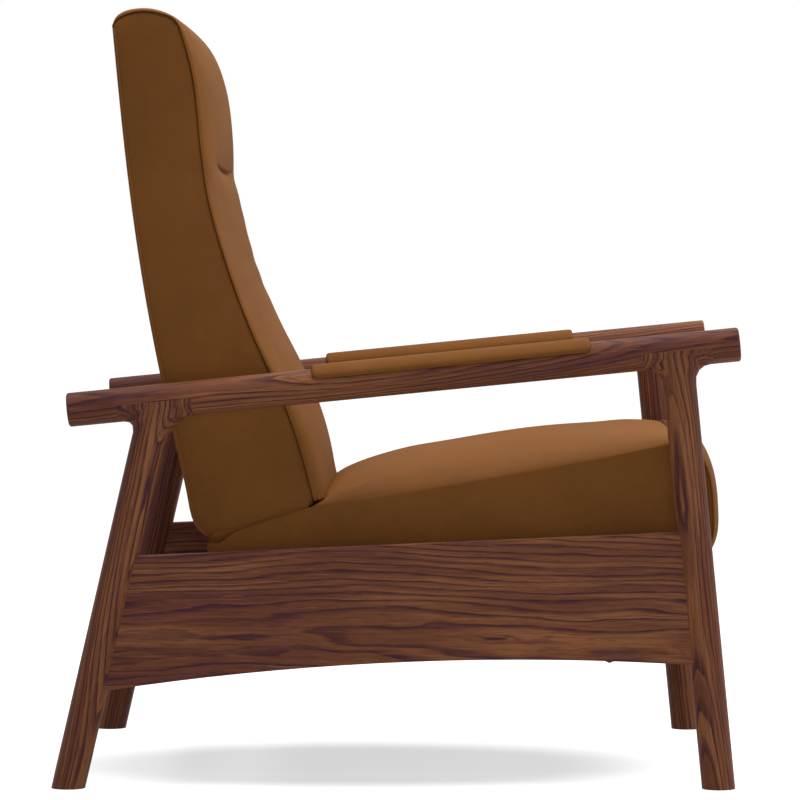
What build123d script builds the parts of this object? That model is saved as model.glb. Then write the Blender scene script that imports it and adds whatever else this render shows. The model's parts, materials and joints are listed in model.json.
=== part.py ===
from build123d import *
from math import cos, dist, hypot, radians, sin, sqrt
import os

# High-back push-back recliner with a turned walnut frame and a leather seat.
# Millimetres. X runs from the back of the chair to its front, Y from the sitter's
# right to the left, Z up. The origin is on the floor under the middle of the chair.
# Points in side view are pairs (X, Z).

# Open wooden frame
SIDE_Y = 345
RAIL_RADIUS = 22
LEG_RADIUS = 21.5
RAIL_REAR = (-422.3, 489)
RAIL_FRONT = (442.9, 574)
RAIL_END_CHAMFER = 2
FRONT_FOOT = (417.7, 0)
FRONT_HEAD_X = 362
REAR_FOOT = (-423.27, 0)
REAR_HEAD_X = -307.3
FRONT_FLARES = (20, 20)
REAR_FLARES = (14, 34)
FRONT_LAP = (45, 45)
REAR_LAP = (51, 45)
NECK_DEPTHS = (36, 24, 14, 6, 1.5, 0, -RAIL_RADIUS)
PANEL_THICK = 22
PANEL_TOP = ((-345, 300), (375, 331.7))
PANEL_ARCH = ((-396, 123.5), (155, 167.5), (402, 159.5))
PAD_REACH = (318, 678)
PAD_THICK = 5
PAD_HALF_ANGLE = 67
PAD_CORNER = 5

# Seat and back outlines in side view: at the sewn sides, and at the middle of the crown
HALF_WIDTH = 303
BACK_HALF_WIDTH = 300
CROWN_POWER = 6
CROWN_EDGE = 0.65
CROWN_STATIONS = (-1, -0.98, -0.92, -0.8, -0.5, 0, 0.5, 0.8, 0.92, 0.98, 1)
SEAT_BASE_REAR = (-245, 300)
SEAT_BASE_FRONT = (369, 372)
SEAT_UNDER_BACK = ((-245, 311), (-228, 311), (-204, 330.5), (-114, 355))
SEAT_SIDE = ((-89, 360.6), (0, 383), (109.5, 407.3), (232.8, 426.8), (369, 438))
SEAT_MIDDLE = ((-84.9, 383), (-2.4, 417.8), (112.3, 440.4), (241.4, 455.6), (369, 456.4))
BACK_REAR_EDGE = ((-247.7, 323), (-266.5, 357), (-280, 412), (-323, 636), (-352.4, 823), (-368, 984))
BACK_BASE = ((-244, 323.5), (-112, 362))
BACK_SIDE = ((-106, 368), (-142, 488), (-182, 577), (-227, 700), (-246.5, 778),
             (-250, 803), (-252.5, 822), (-264, 924), (-281, 983), (-330, 1004), (-358, 998))
BACK_MIDDLE = ((-88, 394.3), (-112, 487), (-156.5, 577), (-206, 700), (-227, 778),
               (-231.5, 803), (-233, 822), (-242.3, 916), (-266.6, 984), (-325.7, 1019.6), (-359.7, 1024))
BACK_TOP_REAR_SIDE = (-367, 991)
BACK_TOP_REAR_MIDDLE = (-371, 1008)
BACK_PAD_DEPTH = 10
BACK_PANEL_THICK = 5
FOOT_PAD_REAR = 371
FOOT_BOARD_FRONT = 386.5
FOOT_BOARD_TOP = 418
FOOT_SIDE = ((371, 437.8), (390, 433), (402, 418), (410, 390), (413, 356), (412, 322), (404, 294))
FOOT_MIDDLE = ((371, 457), (397, 449), (416, 422), (425, 390), (428.6, 350), (424.7, 314.4), (408, 291))

# Mechanism layers, as distances from the middle plane
CLEAT_LAYER = (295.5, SIDE_Y - PANEL_THICK / 2)
BASE_LAYER = (292.5, 295.5)
SWING_LAYER = (288.6, 292.1)
SEAT_PLATE_LAYER = (285, 288.2)
SIDE_RAIL_LAYER = (265, 285)
EAR_LAYER = (261.5, 265)
OUTER_LINK_LAYER = (257.6, 261.1)
INNER_LINK_LAYER = (253.7, 257.2)
POST_LAYER = (232.6, 257.6)
CONTROL_LAYER = (261.5, 264.6)
LINK_HALF_WIDTH = 11
LINK_END_SIDES = 8
SWING_HALF_WIDTH = 12
PIN_RADIUS = 4
SWING_PIN_RADIUS = 5
RUNNING_CLEARANCE = 0.1

# Push-back motion: the seat glides forward and tips while the back folds down behind it
SEAT_TIP = 7
BACK_RECLINE = 22
FRONT_SWING_TOP = (150, 262)
FRONT_SWING_TOP_RECLINED = (200, 266)
REAR_SWING_TOP = (-130, 250)
FRONT_SWING_DROP = 70
REAR_SWING_DROP = 55
BACK_PIVOT = (-222, 358)
BACK_ARM_END = (-196, 262)
RECLINE_LINK_DROP = 78
CROSS_ROD_RADIUS = 10

# Footrest scissor, folded under the seat
SCISSOR_TOP = (280, 340)
SCISSOR_LENGTH = 170
SCISSOR_FOLDED = 12
SCISSOR_OPEN = 72
FOOTREST_TURN = 82
CONTROL_ON_LINK = 40
CONTROL_FOLDED = 10

# Frame pieces under the seat: ranges along X, then Z
FRONT_STRETCHER = ((228, 250), (172, 230))
REAR_STRETCHER = ((-330, -308), (175, 250))
CLEAT_X = (-182, 215)
CLEAT_Z = (168, 215)
BASE_PLATE_X = (-184, 217)
BASE_PLATE_Z = (165, 215)
ROD_EYE_HALF_WIDTH = 16

# Seat box
SEAT_SKIRT = 290.4
SEAT_SIDE_LAYER = (285, HALF_WIDTH)
SIDE_RAIL_X = (-241, 363)
SIDE_RAIL_BASE = 240
FRONT_RAIL_X = (345, 363)
FRONT_RAIL_HALF = 246
LINK_NOTCH_TOP = 353.5
REAR_RAIL_X = (-241, -224)
REAR_RAIL_BASE = 255
DECK_X = (-240, 366)
DECK_HALF = 250
DECK_THICK = 5
SEAT_PLATE_X = (-148, 170)
SEAT_PLATE_Z = (SIDE_RAIL_BASE, 288)
ARM_SLOT_ROOM = 3
ARM_SLOT_FRONT = -150
EAR_FOOT = ((-196, 272), (-150, 262))
PLATE_STRIP = (250, 284)
PLATE_SHOULDER = 60
BRACKET_EDGE = 11
SLOT_OVERRUN = 3

# Back
BACK_CORE = ((-122, 359), (-152, 488), (-192, 577), (-237, 700), (-262, 815),
             (-274, 920), (-283, 955), (-300, 979), (-330, 990), (-358, 985))
BACK_SIDE_LAYER = (266, BACK_HALF_WIDTH)
BACK_POST = ((-243, 352), (-196, 352), (-300, 972), (-343, 972))
BACK_TOP_RAIL = ((-341, -302), (925, 965))
BACK_LOWER_RAIL = ((-238, 327), (-126, 360), (-131, 377), (-243, 344))
BACK_BRACKET_TOP = (-238, 450)
BACK_BRACKET_HALF = 15

# Footrest
FOOT_BOARD_BASE = 293
FOOT_BOARD_HALF = 296
CONTROL_HALF_WIDTH = 9
BRACKET_THICK = 3.5
BRACKET_FLANGE = 25

RIGHT = -1
LEFT = 1
SIDES = ((RIGHT, "right"), (LEFT, "left"))


def save(piece, name):
    """Name a finished piece and write it."""
    piece.part.label = name
    export_step(piece.part, "parts/" + name + ".step")


def moved(point, direction, length):
    return (point[0] + length * direction[0], point[1] + length * direction[1])


def heading(start, end):
    """Unit direction from one side-view point to another."""
    length = dist(start, end)
    return ((end[0] - start[0]) / length, (end[1] - start[1]) / length)


def turned(point, centre, angle):
    """A side-view point turned about a centre, positive as the chair reclines."""
    x, z = point[0] - centre[0], point[1] - centre[1]
    c, s = cos(radians(angle)), sin(radians(angle))
    return (centre[0] + x * c - z * s, centre[1] + x * s + z * c)


def upright(side, layer):
    """Side-view plane at the start of a layer: local x is X, local y is Z."""
    return Plane.XZ.offset(layer[0] if side == RIGHT else -layer[1])


def thickness(layer):
    return layer[1] - layer[0]


def along(origin, direction):
    """Plane square to a direction that lies in the side plane of the right-hand frame."""
    return Plane(
        origin=(origin[0], -SIDE_Y, origin[1]),
        x_dir=(0, 1, 0),
        z_dir=(direction[0], 0, direction[1]),
    )


RAIL_DIRECTION = heading(RAIL_REAR, RAIL_FRONT)
RAIL_LENGTH = dist(RAIL_REAR, RAIL_FRONT)


def on_rail(x):
    """Point of the rail's axis at one X."""
    return (x, RAIL_REAR[1] + (x - RAIL_REAR[0]) * RAIL_DIRECTION[1] / RAIL_DIRECTION[0])


FRONT_HEAD = on_rail(FRONT_HEAD_X)
REAR_HEAD = on_rail(REAR_HEAD_X)


def rail_station(head):
    """Distance along the rail of the point where a leg's axis meets it."""
    return (head[0] - RAIL_REAR[0]) * RAIL_DIRECTION[0] + (head[1] - RAIL_REAR[1]) * RAIL_DIRECTION[1]


# Arm rails: turned rods whose lower half is cut away over each leg head

def arm_rail():
    with BuildPart() as rail:
        with BuildSketch(along(RAIL_REAR, RAIL_DIRECTION)):
            Circle(RAIL_RADIUS)
        extrude(amount=RAIL_LENGTH)
        chamfer(rail.edges().filter_by(GeomType.CIRCLE), RAIL_END_CHAMFER)
        for head, lap in ((FRONT_HEAD, FRONT_LAP), (REAR_HEAD, REAR_LAP)):
            start = moved(RAIL_REAR, RAIL_DIRECTION, rail_station(head) - lap[0])
            with BuildSketch(along(start, RAIL_DIRECTION)):
                Rectangle(3 * RAIL_RADIUS, 2 * RAIL_RADIUS, align=(Align.CENTER, Align.MAX))
            extrude(amount=lap[0] + lap[1], mode=Mode.SUBTRACT)
    return rail


# Legs: turned rods that flare into a half-lapped head under the rail

def under_rail(head, lean, depth):
    """Plane along the rail, a depth below its underside, centred on a leg."""
    rise = lean[1] * RAIL_DIRECTION[0] - lean[0] * RAIL_DIRECTION[1]
    centre = moved(head, lean, -(RAIL_RADIUS + depth) / rise)
    return Plane(
        origin=(centre[0], -SIDE_Y, centre[1]),
        x_dir=(RAIL_DIRECTION[0], 0, RAIL_DIRECTION[1]),
        z_dir=(-RAIL_DIRECTION[1], 0, RAIL_DIRECTION[0]),
    )


def flare_growth(depth, radius):
    """How far a flare of one radius has spread along the rail at a depth below it."""
    remaining = radius - min(max(depth, 0), radius)
    return radius - sqrt(radius ** 2 - remaining ** 2)


def neck(head, lean, flares):
    """Top of a leg, swept out along the rail: sections of half an ellipse each way."""
    half = LEG_RADIUS / (lean[1] * RAIL_DIRECTION[0] - lean[0] * RAIL_DIRECTION[1])
    with BuildPart() as swept:
        for depth in NECK_DEPTHS:
            with BuildSketch(under_rail(head, lean, depth)):
                with BuildLine():
                    EllipticalCenterArc(
                        (0, 0),
                        half + flare_growth(depth, flares[1]),
                        LEG_RADIUS,
                        start_angle=-90,
                        arc_size=180,
                    )
                    EllipticalCenterArc(
                        (0, 0),
                        half + flare_growth(depth, flares[0]),
                        LEG_RADIUS,
                        start_angle=90,
                        arc_size=180,
                    )
                make_face()
        loft(ruled=True)
    return swept


def leg(foot, head, flares, lap):
    lean = heading(foot, head)
    rail_down = (RAIL_DIRECTION[1], -RAIL_DIRECTION[0])
    rear_shoulder = moved(head, RAIL_DIRECTION, -lap[0])
    front_shoulder = moved(head, RAIL_DIRECTION, lap[1])
    rear_under = moved(rear_shoulder, rail_down, RAIL_RADIUS)
    front_under = moved(front_shoulder, rail_down, RAIL_RADIUS)
    rear_edge = moved(rear_under, RAIL_DIRECTION, -rear_under[1])
    front_edge = moved(front_under, RAIL_DIRECTION, front_under[1])
    with BuildPart() as whole:
        with BuildSketch(along(moved(foot, lean, -RAIL_RADIUS), lean)):
            Circle(LEG_RADIUS)
        extrude(amount=dist(foot, head) + RAIL_RADIUS)
        split(bisect_by=under_rail(head, lean, NECK_DEPTHS[0]), keep=Keep.BOTTOM)
        add(neck(head, lean, flares).part)
        with BuildSketch(along(rear_shoulder, RAIL_DIRECTION)):
            Circle(RAIL_RADIUS)
        extrude(amount=lap[0] + lap[1])
        # The leg stands on the floor and keeps the lower half of the rail section between its shoulders
        with BuildSketch(Plane.XZ.offset(SIDE_Y - 2 * RAIL_RADIUS)):
            with BuildLine():
                Polyline(
                    rear_shoulder,
                    rear_under,
                    rear_edge,
                    (rear_edge[0], 0),
                    (front_edge[0], 0),
                    front_edge,
                    front_under,
                    front_shoulder,
                    close=True,
                )
            make_face()
        extrude(amount=4 * RAIL_RADIUS, mode=Mode.INTERSECT)
    return whole


# Side panels: boards let in between the legs, with an arched lower edge

def side_panel(legs):
    with BuildPart() as panel:
        with BuildSketch(Plane.XZ.offset(SIDE_Y - PANEL_THICK / 2)):
            with BuildLine():
                Line(*PANEL_TOP)
                Line(PANEL_TOP[1], PANEL_ARCH[2])
                ThreePointArc(PANEL_ARCH[2], PANEL_ARCH[1], PANEL_ARCH[0])
                Line(PANEL_ARCH[0], PANEL_TOP[0])
            make_face()
        extrude(amount=PANEL_THICK)
        for post in legs:
            add(post.part, mode=Mode.SUBTRACT)
    return panel


# Arm pads: leather saddles over the top of the rails

def arm_pad():
    start = moved(RAIL_REAR, RAIL_DIRECTION, PAD_REACH[0])
    outer = RAIL_RADIUS + PAD_THICK
    with BuildPart() as pad:
        with BuildSketch(along(start, RAIL_DIRECTION)):
            Circle(outer)
            Circle(RAIL_RADIUS, mode=Mode.SUBTRACT)
            reach = 2 * outer
            spread = reach * sin(radians(PAD_HALF_ANGLE))
            rise = reach * cos(radians(PAD_HALF_ANGLE))
            with BuildLine():
                Polyline((0, 0), (spread, rise), (spread, reach), (-spread, reach), (-spread, rise), close=True)
            make_face(mode=Mode.INTERSECT)
        extrude(amount=PAD_REACH[1] - PAD_REACH[0])
        chamfer(pad.edges().filter_by(GeomType.LINE).sort_by(SortBy.LENGTH)[:4], PAD_CORNER)
    return pad


def board(x_range, z_range, half_width):
    """A plain board across the chair."""
    with BuildPart() as piece:
        with BuildSketch(Plane.XZ.offset(-half_width)):
            with BuildLine():
                Polyline(
                    (x_range[0], z_range[0]),
                    (x_range[1], z_range[0]),
                    (x_range[1], z_range[1]),
                    (x_range[0], z_range[1]),
                    close=True,
                )
            make_face()
        extrude(amount=2 * half_width)
    return piece


def prism(side, layer, points):
    """A plate or board that fills one layer inside a side-view polygon."""
    with BuildPart() as piece:
        with BuildSketch(upright(side, layer)):
            with BuildLine():
                Polyline(*points, close=True)
            make_face()
        extrude(amount=thickness(layer))
    return piece


def link(side, layer, eyes, half_width, holes):
    """Flat link with clipped ends round its eyes and a hole at each listed point."""
    with BuildPart() as piece:
        with BuildSketch(upright(side, layer)):
            with Locations(*eyes):
                RegularPolygon(half_width, LINK_END_SIDES, major_radius=False)
            make_hull()
            for point, radius in holes:
                with Locations(point):
                    Circle(radius, mode=Mode.SUBTRACT)
        extrude(amount=thickness(layer))
    return piece


def with_pins(side, piece, pins):
    """A plate or link with the pins that are riveted to it, each through a span of layers."""
    with BuildPart() as pinned:
        add(piece.part)
        for point, radius, span in pins:
            with BuildSketch(upright(side, span)):
                with Locations(point):
                    Circle(radius)
            extrude(amount=thickness(span))
    return pinned


# Linkage geometry, worked out from where each pivot stands folded and reclined

def glided(point):
    """Where a point of the seat stands at full recline."""
    tipped = turned(point, FRONT_SWING_TOP, SEAT_TIP)
    shift = (FRONT_SWING_TOP_RECLINED[0] - FRONT_SWING_TOP[0], FRONT_SWING_TOP_RECLINED[1] - FRONT_SWING_TOP[1])
    return (tipped[0] + shift[0], tipped[1] + shift[1])


def swing_centre(start, end, drop):
    """Lower pivot of a link whose upper eye travels from start to end, below the middle of that chord."""
    chord = heading(start, end)
    middle = ((start[0] + end[0]) / 2, (start[1] + end[1]) / 2)
    return moved(middle, (chord[1], -chord[0]), drop)


FRONT_SWING_BASE = swing_centre(FRONT_SWING_TOP, FRONT_SWING_TOP_RECLINED, FRONT_SWING_DROP)
REAR_SWING_BASE = swing_centre(REAR_SWING_TOP, glided(REAR_SWING_TOP), REAR_SWING_DROP)
BACK_ARM_END_RECLINED = glided(turned(BACK_ARM_END, BACK_PIVOT, BACK_RECLINE))
CROSS_ROD = swing_centre(BACK_ARM_END, BACK_ARM_END_RECLINED, RECLINE_LINK_DROP)


def scissor(angle):
    """Pivots of the two-cell scissor at one angle of its links from upright."""
    down = (sin(radians(angle)), -cos(radians(angle)))
    up = (down[0], -down[1])
    slot = (SCISSOR_TOP[0], SCISSOR_TOP[1] + SCISSOR_LENGTH * down[1])
    lower = moved(SCISSOR_TOP, down, SCISSOR_LENGTH)
    upper = moved(slot, up, SCISSOR_LENGTH)
    pad_end = moved(lower, up, SCISSOR_LENGTH)
    free_end = moved(upper, down, SCISSOR_LENGTH)
    return {
        "slot": slot,
        "lower": lower,
        "upper": upper,
        "pad_end": pad_end,
        "free_end": free_end,
        "rear_cross": moved(SCISSOR_TOP, down, SCISSOR_LENGTH / 2),
        "front_cross": moved(lower, up, SCISSOR_LENGTH / 2),
        "control": moved(free_end, down, -CONTROL_ON_LINK),
    }


FOLDED = scissor(SCISSOR_FOLDED)
OPENED = scissor(SCISSOR_OPEN)


def control_reach():
    """Distance from the pad's pivot to the control link's eye that closes both ends of the travel."""
    folded = (FOLDED["control"][0] - FOLDED["pad_end"][0], FOLDED["control"][1] - FOLDED["pad_end"][1])
    opened = (OPENED["control"][0] - OPENED["pad_end"][0], OPENED["control"][1] - OPENED["pad_end"][1])
    folded_way = radians(CONTROL_FOLDED)
    opened_way = radians(CONTROL_FOLDED + FOOTREST_TURN)
    change = hypot(*folded) ** 2 - hypot(*opened) ** 2
    lean = folded[0] * sin(folded_way) - folded[1] * cos(folded_way)
    open_lean = opened[0] * sin(opened_way) - opened[1] * cos(opened_way)
    return change / (2 * (lean - open_lean))


CONTROL_EYE = moved(
    FOLDED["pad_end"],
    (sin(radians(CONTROL_FOLDED)), -cos(radians(CONTROL_FOLDED))),
    control_reach(),
)


# Crowned upholstery: one outline at the sewn sides swells to another at the middle

def crown_share(station):
    """Steep at the seams, then a slow rise to the middle."""
    return CROWN_EDGE * sqrt(1 - abs(station) ** CROWN_POWER) + (1 - CROWN_EDGE) * (1 - station ** 2)


def between(side_points, middle_points, share):
    return [
        (a[0] + share * (b[0] - a[0]), a[1] + share * (b[1] - a[1]))
        for a, b in zip(side_points, middle_points)
    ]


def crowned(half_width, side_points, middle_points, closing_points):
    """Loft of outlines across the chair: a crowned spline, closed by straight lines."""
    with BuildPart() as cushion:
        for station in CROWN_STATIONS:
            curve = between(side_points, middle_points, crown_share(station))
            closing = between(*closing_points, crown_share(station))
            with BuildSketch(Plane.XZ.offset(-station * half_width)):
                with BuildLine():
                    Spline(*curve)
                    Polyline(curve[-1], *closing, curve[0])
                make_face()
        loft(ruled=True)
    return cushion


# Frame under the seat

def mechanism_cleat(side):
    low, high = CLEAT_Z
    rear, front = CLEAT_X
    return prism(side, CLEAT_LAYER, ((rear, low), (front, low), (front, high), (rear, high)))


def base_plate(side):
    low, high = BASE_PLATE_Z
    rear, front = BASE_PLATE_X
    plate = prism(side, BASE_LAYER, ((rear, low), (front, low), (front, high), (rear, high)))
    pin_span = (SWING_LAYER[0], BASE_LAYER[0])
    return with_pins(
        side,
        plate,
        ((FRONT_SWING_BASE, SWING_PIN_RADIUS, pin_span), (REAR_SWING_BASE, SWING_PIN_RADIUS, pin_span)),
    )


def cross_rod():
    with BuildPart() as rod:
        with BuildSketch(Plane.XZ.offset(-BASE_LAYER[0])):
            with Locations(CROSS_ROD):
                Circle(CROSS_ROD_RADIUS)
        extrude(amount=2 * BASE_LAYER[0])
    return rod


# Swing links, which carry the seat, and recline links, which fold the back

def front_swing_link(side):
    hole = SWING_PIN_RADIUS + RUNNING_CLEARANCE
    eyes = (FRONT_SWING_BASE, FRONT_SWING_TOP)
    return link(side, SWING_LAYER, eyes, SWING_HALF_WIDTH, [(eye, hole) for eye in eyes])


def rear_swing_link(side):
    """Its upper eye is riveted and meets the plate beside it without a through pin."""
    hole = SWING_PIN_RADIUS + RUNNING_CLEARANCE
    eyes = (REAR_SWING_BASE, REAR_SWING_TOP)
    return link(side, SWING_LAYER, eyes, SWING_HALF_WIDTH, [(REAR_SWING_BASE, hole)])


def recline_link(side):
    with BuildPart() as bar:
        with BuildSketch(upright(side, INNER_LINK_LAYER)):
            with Locations(CROSS_ROD):
                RegularPolygon(ROD_EYE_HALF_WIDTH, LINK_END_SIDES, major_radius=False)
            with Locations(BACK_ARM_END):
                RegularPolygon(LINK_HALF_WIDTH, LINK_END_SIDES, major_radius=False)
            make_hull()
            with Locations(CROSS_ROD):
                Circle(CROSS_ROD_RADIUS + RUNNING_CLEARANCE, mode=Mode.SUBTRACT)
        extrude(amount=thickness(INNER_LINK_LAYER))
    return bar


# Seat box

def seat_base_height(x):
    """Height of the sloping plane on which the seat cushion lies."""
    slope = (SEAT_BASE_FRONT[1] - SEAT_BASE_REAR[1]) / (SEAT_BASE_FRONT[0] - SEAT_BASE_REAR[0])
    return SEAT_BASE_REAR[1] + slope * (x - SEAT_BASE_REAR[0])


def seat_cushion():
    first = SEAT_UNDER_BACK[-1]
    rear_points = (SEAT_BASE_FRONT, SEAT_BASE_REAR, *SEAT_UNDER_BACK[:-1])
    cushion = crowned(HALF_WIDTH, (first, *SEAT_SIDE), (first, *SEAT_MIDDLE), (rear_points, rear_points))
    # Slots under the back let the back's steel arms through
    slot_layer = (INNER_LINK_LAYER[0] - ARM_SLOT_ROOM, EAR_LAYER[1] + ARM_SLOT_ROOM)
    with BuildPart() as slotted:
        add(cushion.part)
        for side in (RIGHT, LEFT):
            with BuildSketch(upright(side, slot_layer)):
                with BuildLine():
                    Polyline(
                        (SEAT_BASE_REAR[0] - 1, SEAT_BASE_REAR[1] - 1),
                        (ARM_SLOT_FRONT, SEAT_BASE_REAR[1] - 1),
                        (ARM_SLOT_FRONT, SEAT_SIDE[1][1]),
                        (SEAT_BASE_REAR[0] - 1, SEAT_SIDE[1][1]),
                        close=True,
                    )
                make_face()
            extrude(amount=thickness(slot_layer), mode=Mode.SUBTRACT)
    return slotted


def seat_side(side):
    """Padded side of the seat box, below the cushion and outside the wooden rail."""
    rear, front = SEAT_BASE_REAR[0], SEAT_BASE_FRONT[0]
    points = (
        (rear, SEAT_SKIRT),
        (front, SEAT_SKIRT),
        (front, seat_base_height(front)),
        (rear, seat_base_height(rear)),
    )
    return prism(side, SEAT_SIDE_LAYER, points)


def seat_side_rail(side):
    rear, front = SIDE_RAIL_X
    points = (
        (rear, SIDE_RAIL_BASE),
        (front, SIDE_RAIL_BASE),
        (front, seat_base_height(front)),
        (rear, seat_base_height(rear)),
    )
    return prism(side, SIDE_RAIL_LAYER, points)


def seat_front_rail():
    """Upright board under the cushion's front edge, notched at both ends for the scissor links."""
    rear, front = FRONT_RAIL_X
    top = seat_base_height(rear) - DECK_THICK
    half = SIDE_RAIL_LAYER[0]
    with BuildPart() as rail:
        with BuildSketch(Plane.YZ.offset(rear)):
            with BuildLine():
                Polyline(
                    (-half, top),
                    (half, top),
                    (half, LINK_NOTCH_TOP),
                    (FRONT_RAIL_HALF, LINK_NOTCH_TOP),
                    (FRONT_RAIL_HALF, SEAT_SKIRT),
                    (-FRONT_RAIL_HALF, SEAT_SKIRT),
                    (-FRONT_RAIL_HALF, LINK_NOTCH_TOP),
                    (-half, LINK_NOTCH_TOP),
                    close=True,
                )
            make_face()
        extrude(amount=front - rear)
    return rail


def seat_rear_rail():
    rear, front = REAR_RAIL_X
    return board((rear, front), (REAR_RAIL_BASE, seat_base_height(rear) - DECK_THICK), SIDE_RAIL_LAYER[0])


def seat_deck():
    rear, front = DECK_X
    with BuildPart() as deck:
        with BuildSketch(Plane.XZ.offset(-DECK_HALF)):
            with BuildLine():
                Polyline(
                    (rear, seat_base_height(rear)),
                    (front, seat_base_height(front)),
                    (front, seat_base_height(front) - DECK_THICK),
                    (rear, seat_base_height(rear) - DECK_THICK),
                    close=True,
                )
            make_face()
        extrude(amount=2 * DECK_HALF)
    return deck


def seat_plate(side):
    """Steel plate on the outside of the seat rail, hung on the swing links."""
    low, high = SEAT_PLATE_Z
    rear, front = SEAT_PLATE_X
    plate = prism(side, SEAT_PLATE_LAYER, ((rear, low), (front, low), (front, high), (rear, high)))
    pin = (FRONT_SWING_TOP, SWING_PIN_RADIUS, (SEAT_PLATE_LAYER[1], SWING_LAYER[1]))
    return with_pins(side, plate, (pin,))


def inner_plate(side):
    """Steel side plate inside the seat rail: an ear for the back's pivot at its rear,
    the scissor's fixed pivot and upright slot at its front."""
    x, top = SCISSOR_TOP
    edge = PIN_RADIUS + BRACKET_EDGE
    slot_low = FOLDED["slot"][1] - SLOT_OVERRUN
    slot_high = OPENED["slot"][1] + SLOT_OVERRUN
    with BuildPart() as plate:
        with BuildSketch(upright(side, EAR_LAYER)):
            with Locations(BACK_PIVOT, *EAR_FOOT):
                RegularPolygon(SWING_HALF_WIDTH, LINK_END_SIDES, major_radius=False)
            make_hull()
            with BuildLine():
                Polyline(
                    (EAR_FOOT[0][0], PLATE_STRIP[0]),
                    (x - edge, PLATE_STRIP[0]),
                    (x - edge, slot_low),
                    (x + edge, slot_low),
                    (x + edge, top + edge),
                    (x - edge, top + edge),
                    (x - edge - PLATE_SHOULDER, PLATE_STRIP[1]),
                    (EAR_FOOT[0][0], PLATE_STRIP[1]),
                    close=True,
                )
            make_face()
            with Locations((x, slot_low)):
                RegularPolygon(edge, LINK_END_SIDES, major_radius=False)
            with BuildSketch(mode=Mode.PRIVATE) as slot:
                with Locations((x, slot_low), (x, slot_high)):
                    Circle(PIN_RADIUS + RUNNING_CLEARANCE)
                make_hull()
            add(slot.sketch, mode=Mode.SUBTRACT)
        extrude(amount=thickness(EAR_LAYER))
    back_pin = (BACK_PIVOT, SWING_PIN_RADIUS, (OUTER_LINK_LAYER[0] + RUNNING_CLEARANCE, EAR_LAYER[0]))
    scissor_pin = (SCISSOR_TOP, PIN_RADIUS, (OUTER_LINK_LAYER[0], EAR_LAYER[0]))
    return with_pins(side, plate, (back_pin, scissor_pin))


# Back: a wooden frame in a padded shell whose front swells into a headrest

def back_rear_curve(shift):
    """The outside back's gentle curve in side view, moved forward by a distance."""
    return [(x + shift, z) for x, z in BACK_REAR_EDGE]


def back_core(layer_plane, depth):
    """Everything between the front pad and the outside-back panel, over one span of the width."""
    inner = back_rear_curve(BACK_PANEL_THICK)
    with BuildPart() as core:
        with BuildSketch(layer_plane):
            with BuildLine():
                Polyline(*BACK_CORE, *reversed(inner), close=True)
            make_face()
        extrude(amount=depth)
    return core


def back_cushion():
    """Front pad with its crown, the sunk seam under the headrest and the roll over the top."""
    chord = (BACK_CORE[-1], BACK_CORE[0])
    rear_lip = BACK_REAR_EDGE[-1]
    pad = crowned(
        BACK_HALF_WIDTH,
        BACK_SIDE,
        BACK_MIDDLE,
        ((BACK_TOP_REAR_SIDE, rear_lip, *chord), (BACK_TOP_REAR_MIDDLE, rear_lip, *chord)),
    )
    span = 1.1 * BACK_HALF_WIDTH
    core = back_core(Plane.XZ.offset(-span), 2 * span)
    with BuildPart() as hollowed:
        add(pad.part)
        add(core.part, mode=Mode.SUBTRACT)
    return hollowed


def back_side(side):
    return back_core(upright(side, BACK_SIDE_LAYER), thickness(BACK_SIDE_LAYER))


def back_panel():
    """Thin upholstered panel that closes the back from behind."""
    outer = back_rear_curve(0)
    inner = back_rear_curve(BACK_PANEL_THICK)
    with BuildPart() as panel:
        with BuildSketch(Plane.XZ.offset(-BACK_HALF_WIDTH)):
            with BuildLine():
                Polyline(*outer, *reversed(inner), close=True)
            make_face()
        extrude(amount=2 * BACK_HALF_WIDTH)
    return panel


def back_post(side):
    return prism(side, POST_LAYER, BACK_POST)


def back_lower_rail():
    """Board along the open underside of the back, between the posts."""
    half = POST_LAYER[0]
    with BuildPart() as rail:
        with BuildSketch(Plane.XZ.offset(-half)):
            with BuildLine():
                Polyline(*BACK_LOWER_RAIL, close=True)
            make_face()
        extrude(amount=2 * half)
    return rail


def back_bracket(side):
    """Steel arm on the post: pivots on the seat's ear and reaches down to the recline link."""
    with BuildPart() as bracket:
        add(link(side, OUTER_LINK_LAYER, (BACK_PIVOT, BACK_BRACKET_TOP), BACK_BRACKET_HALF, ()).part)
        add(link(side, OUTER_LINK_LAYER, (BACK_PIVOT, BACK_ARM_END), SWING_HALF_WIDTH, ()).part)
        with BuildSketch(upright(side, OUTER_LINK_LAYER)):
            with Locations(BACK_PIVOT):
                Circle(SWING_PIN_RADIUS + RUNNING_CLEARANCE)
        extrude(amount=thickness(OUTER_LINK_LAYER), mode=Mode.SUBTRACT)
    return bracket


# Footrest scissor links, numbered from the seat outwards

THROUGH_INNER = (INNER_LINK_LAYER[0], OUTER_LINK_LAYER[0])
LINK_HOLE = PIN_RADIUS + RUNNING_CLEARANCE


def footrest_link_1(side):
    eyes = (SCISSOR_TOP, FOLDED["lower"])
    bar = link(side, OUTER_LINK_LAYER, eyes, LINK_HALF_WIDTH, ((SCISSOR_TOP, LINK_HOLE),))
    pins = [(FOLDED[eye], PIN_RADIUS, THROUGH_INNER) for eye in ("rear_cross", "lower")]
    return with_pins(side, bar, pins)


def footrest_link_2(side):
    eyes = (FOLDED["slot"], FOLDED["upper"])
    holes = [(FOLDED[eye], LINK_HOLE) for eye in ("rear_cross", "upper")]
    bar = link(side, INNER_LINK_LAYER, eyes, LINK_HALF_WIDTH, holes)
    slot_pin = (FOLDED["slot"], PIN_RADIUS, (INNER_LINK_LAYER[1], CONTROL_LAYER[1]))
    return with_pins(side, bar, (slot_pin,))


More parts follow.
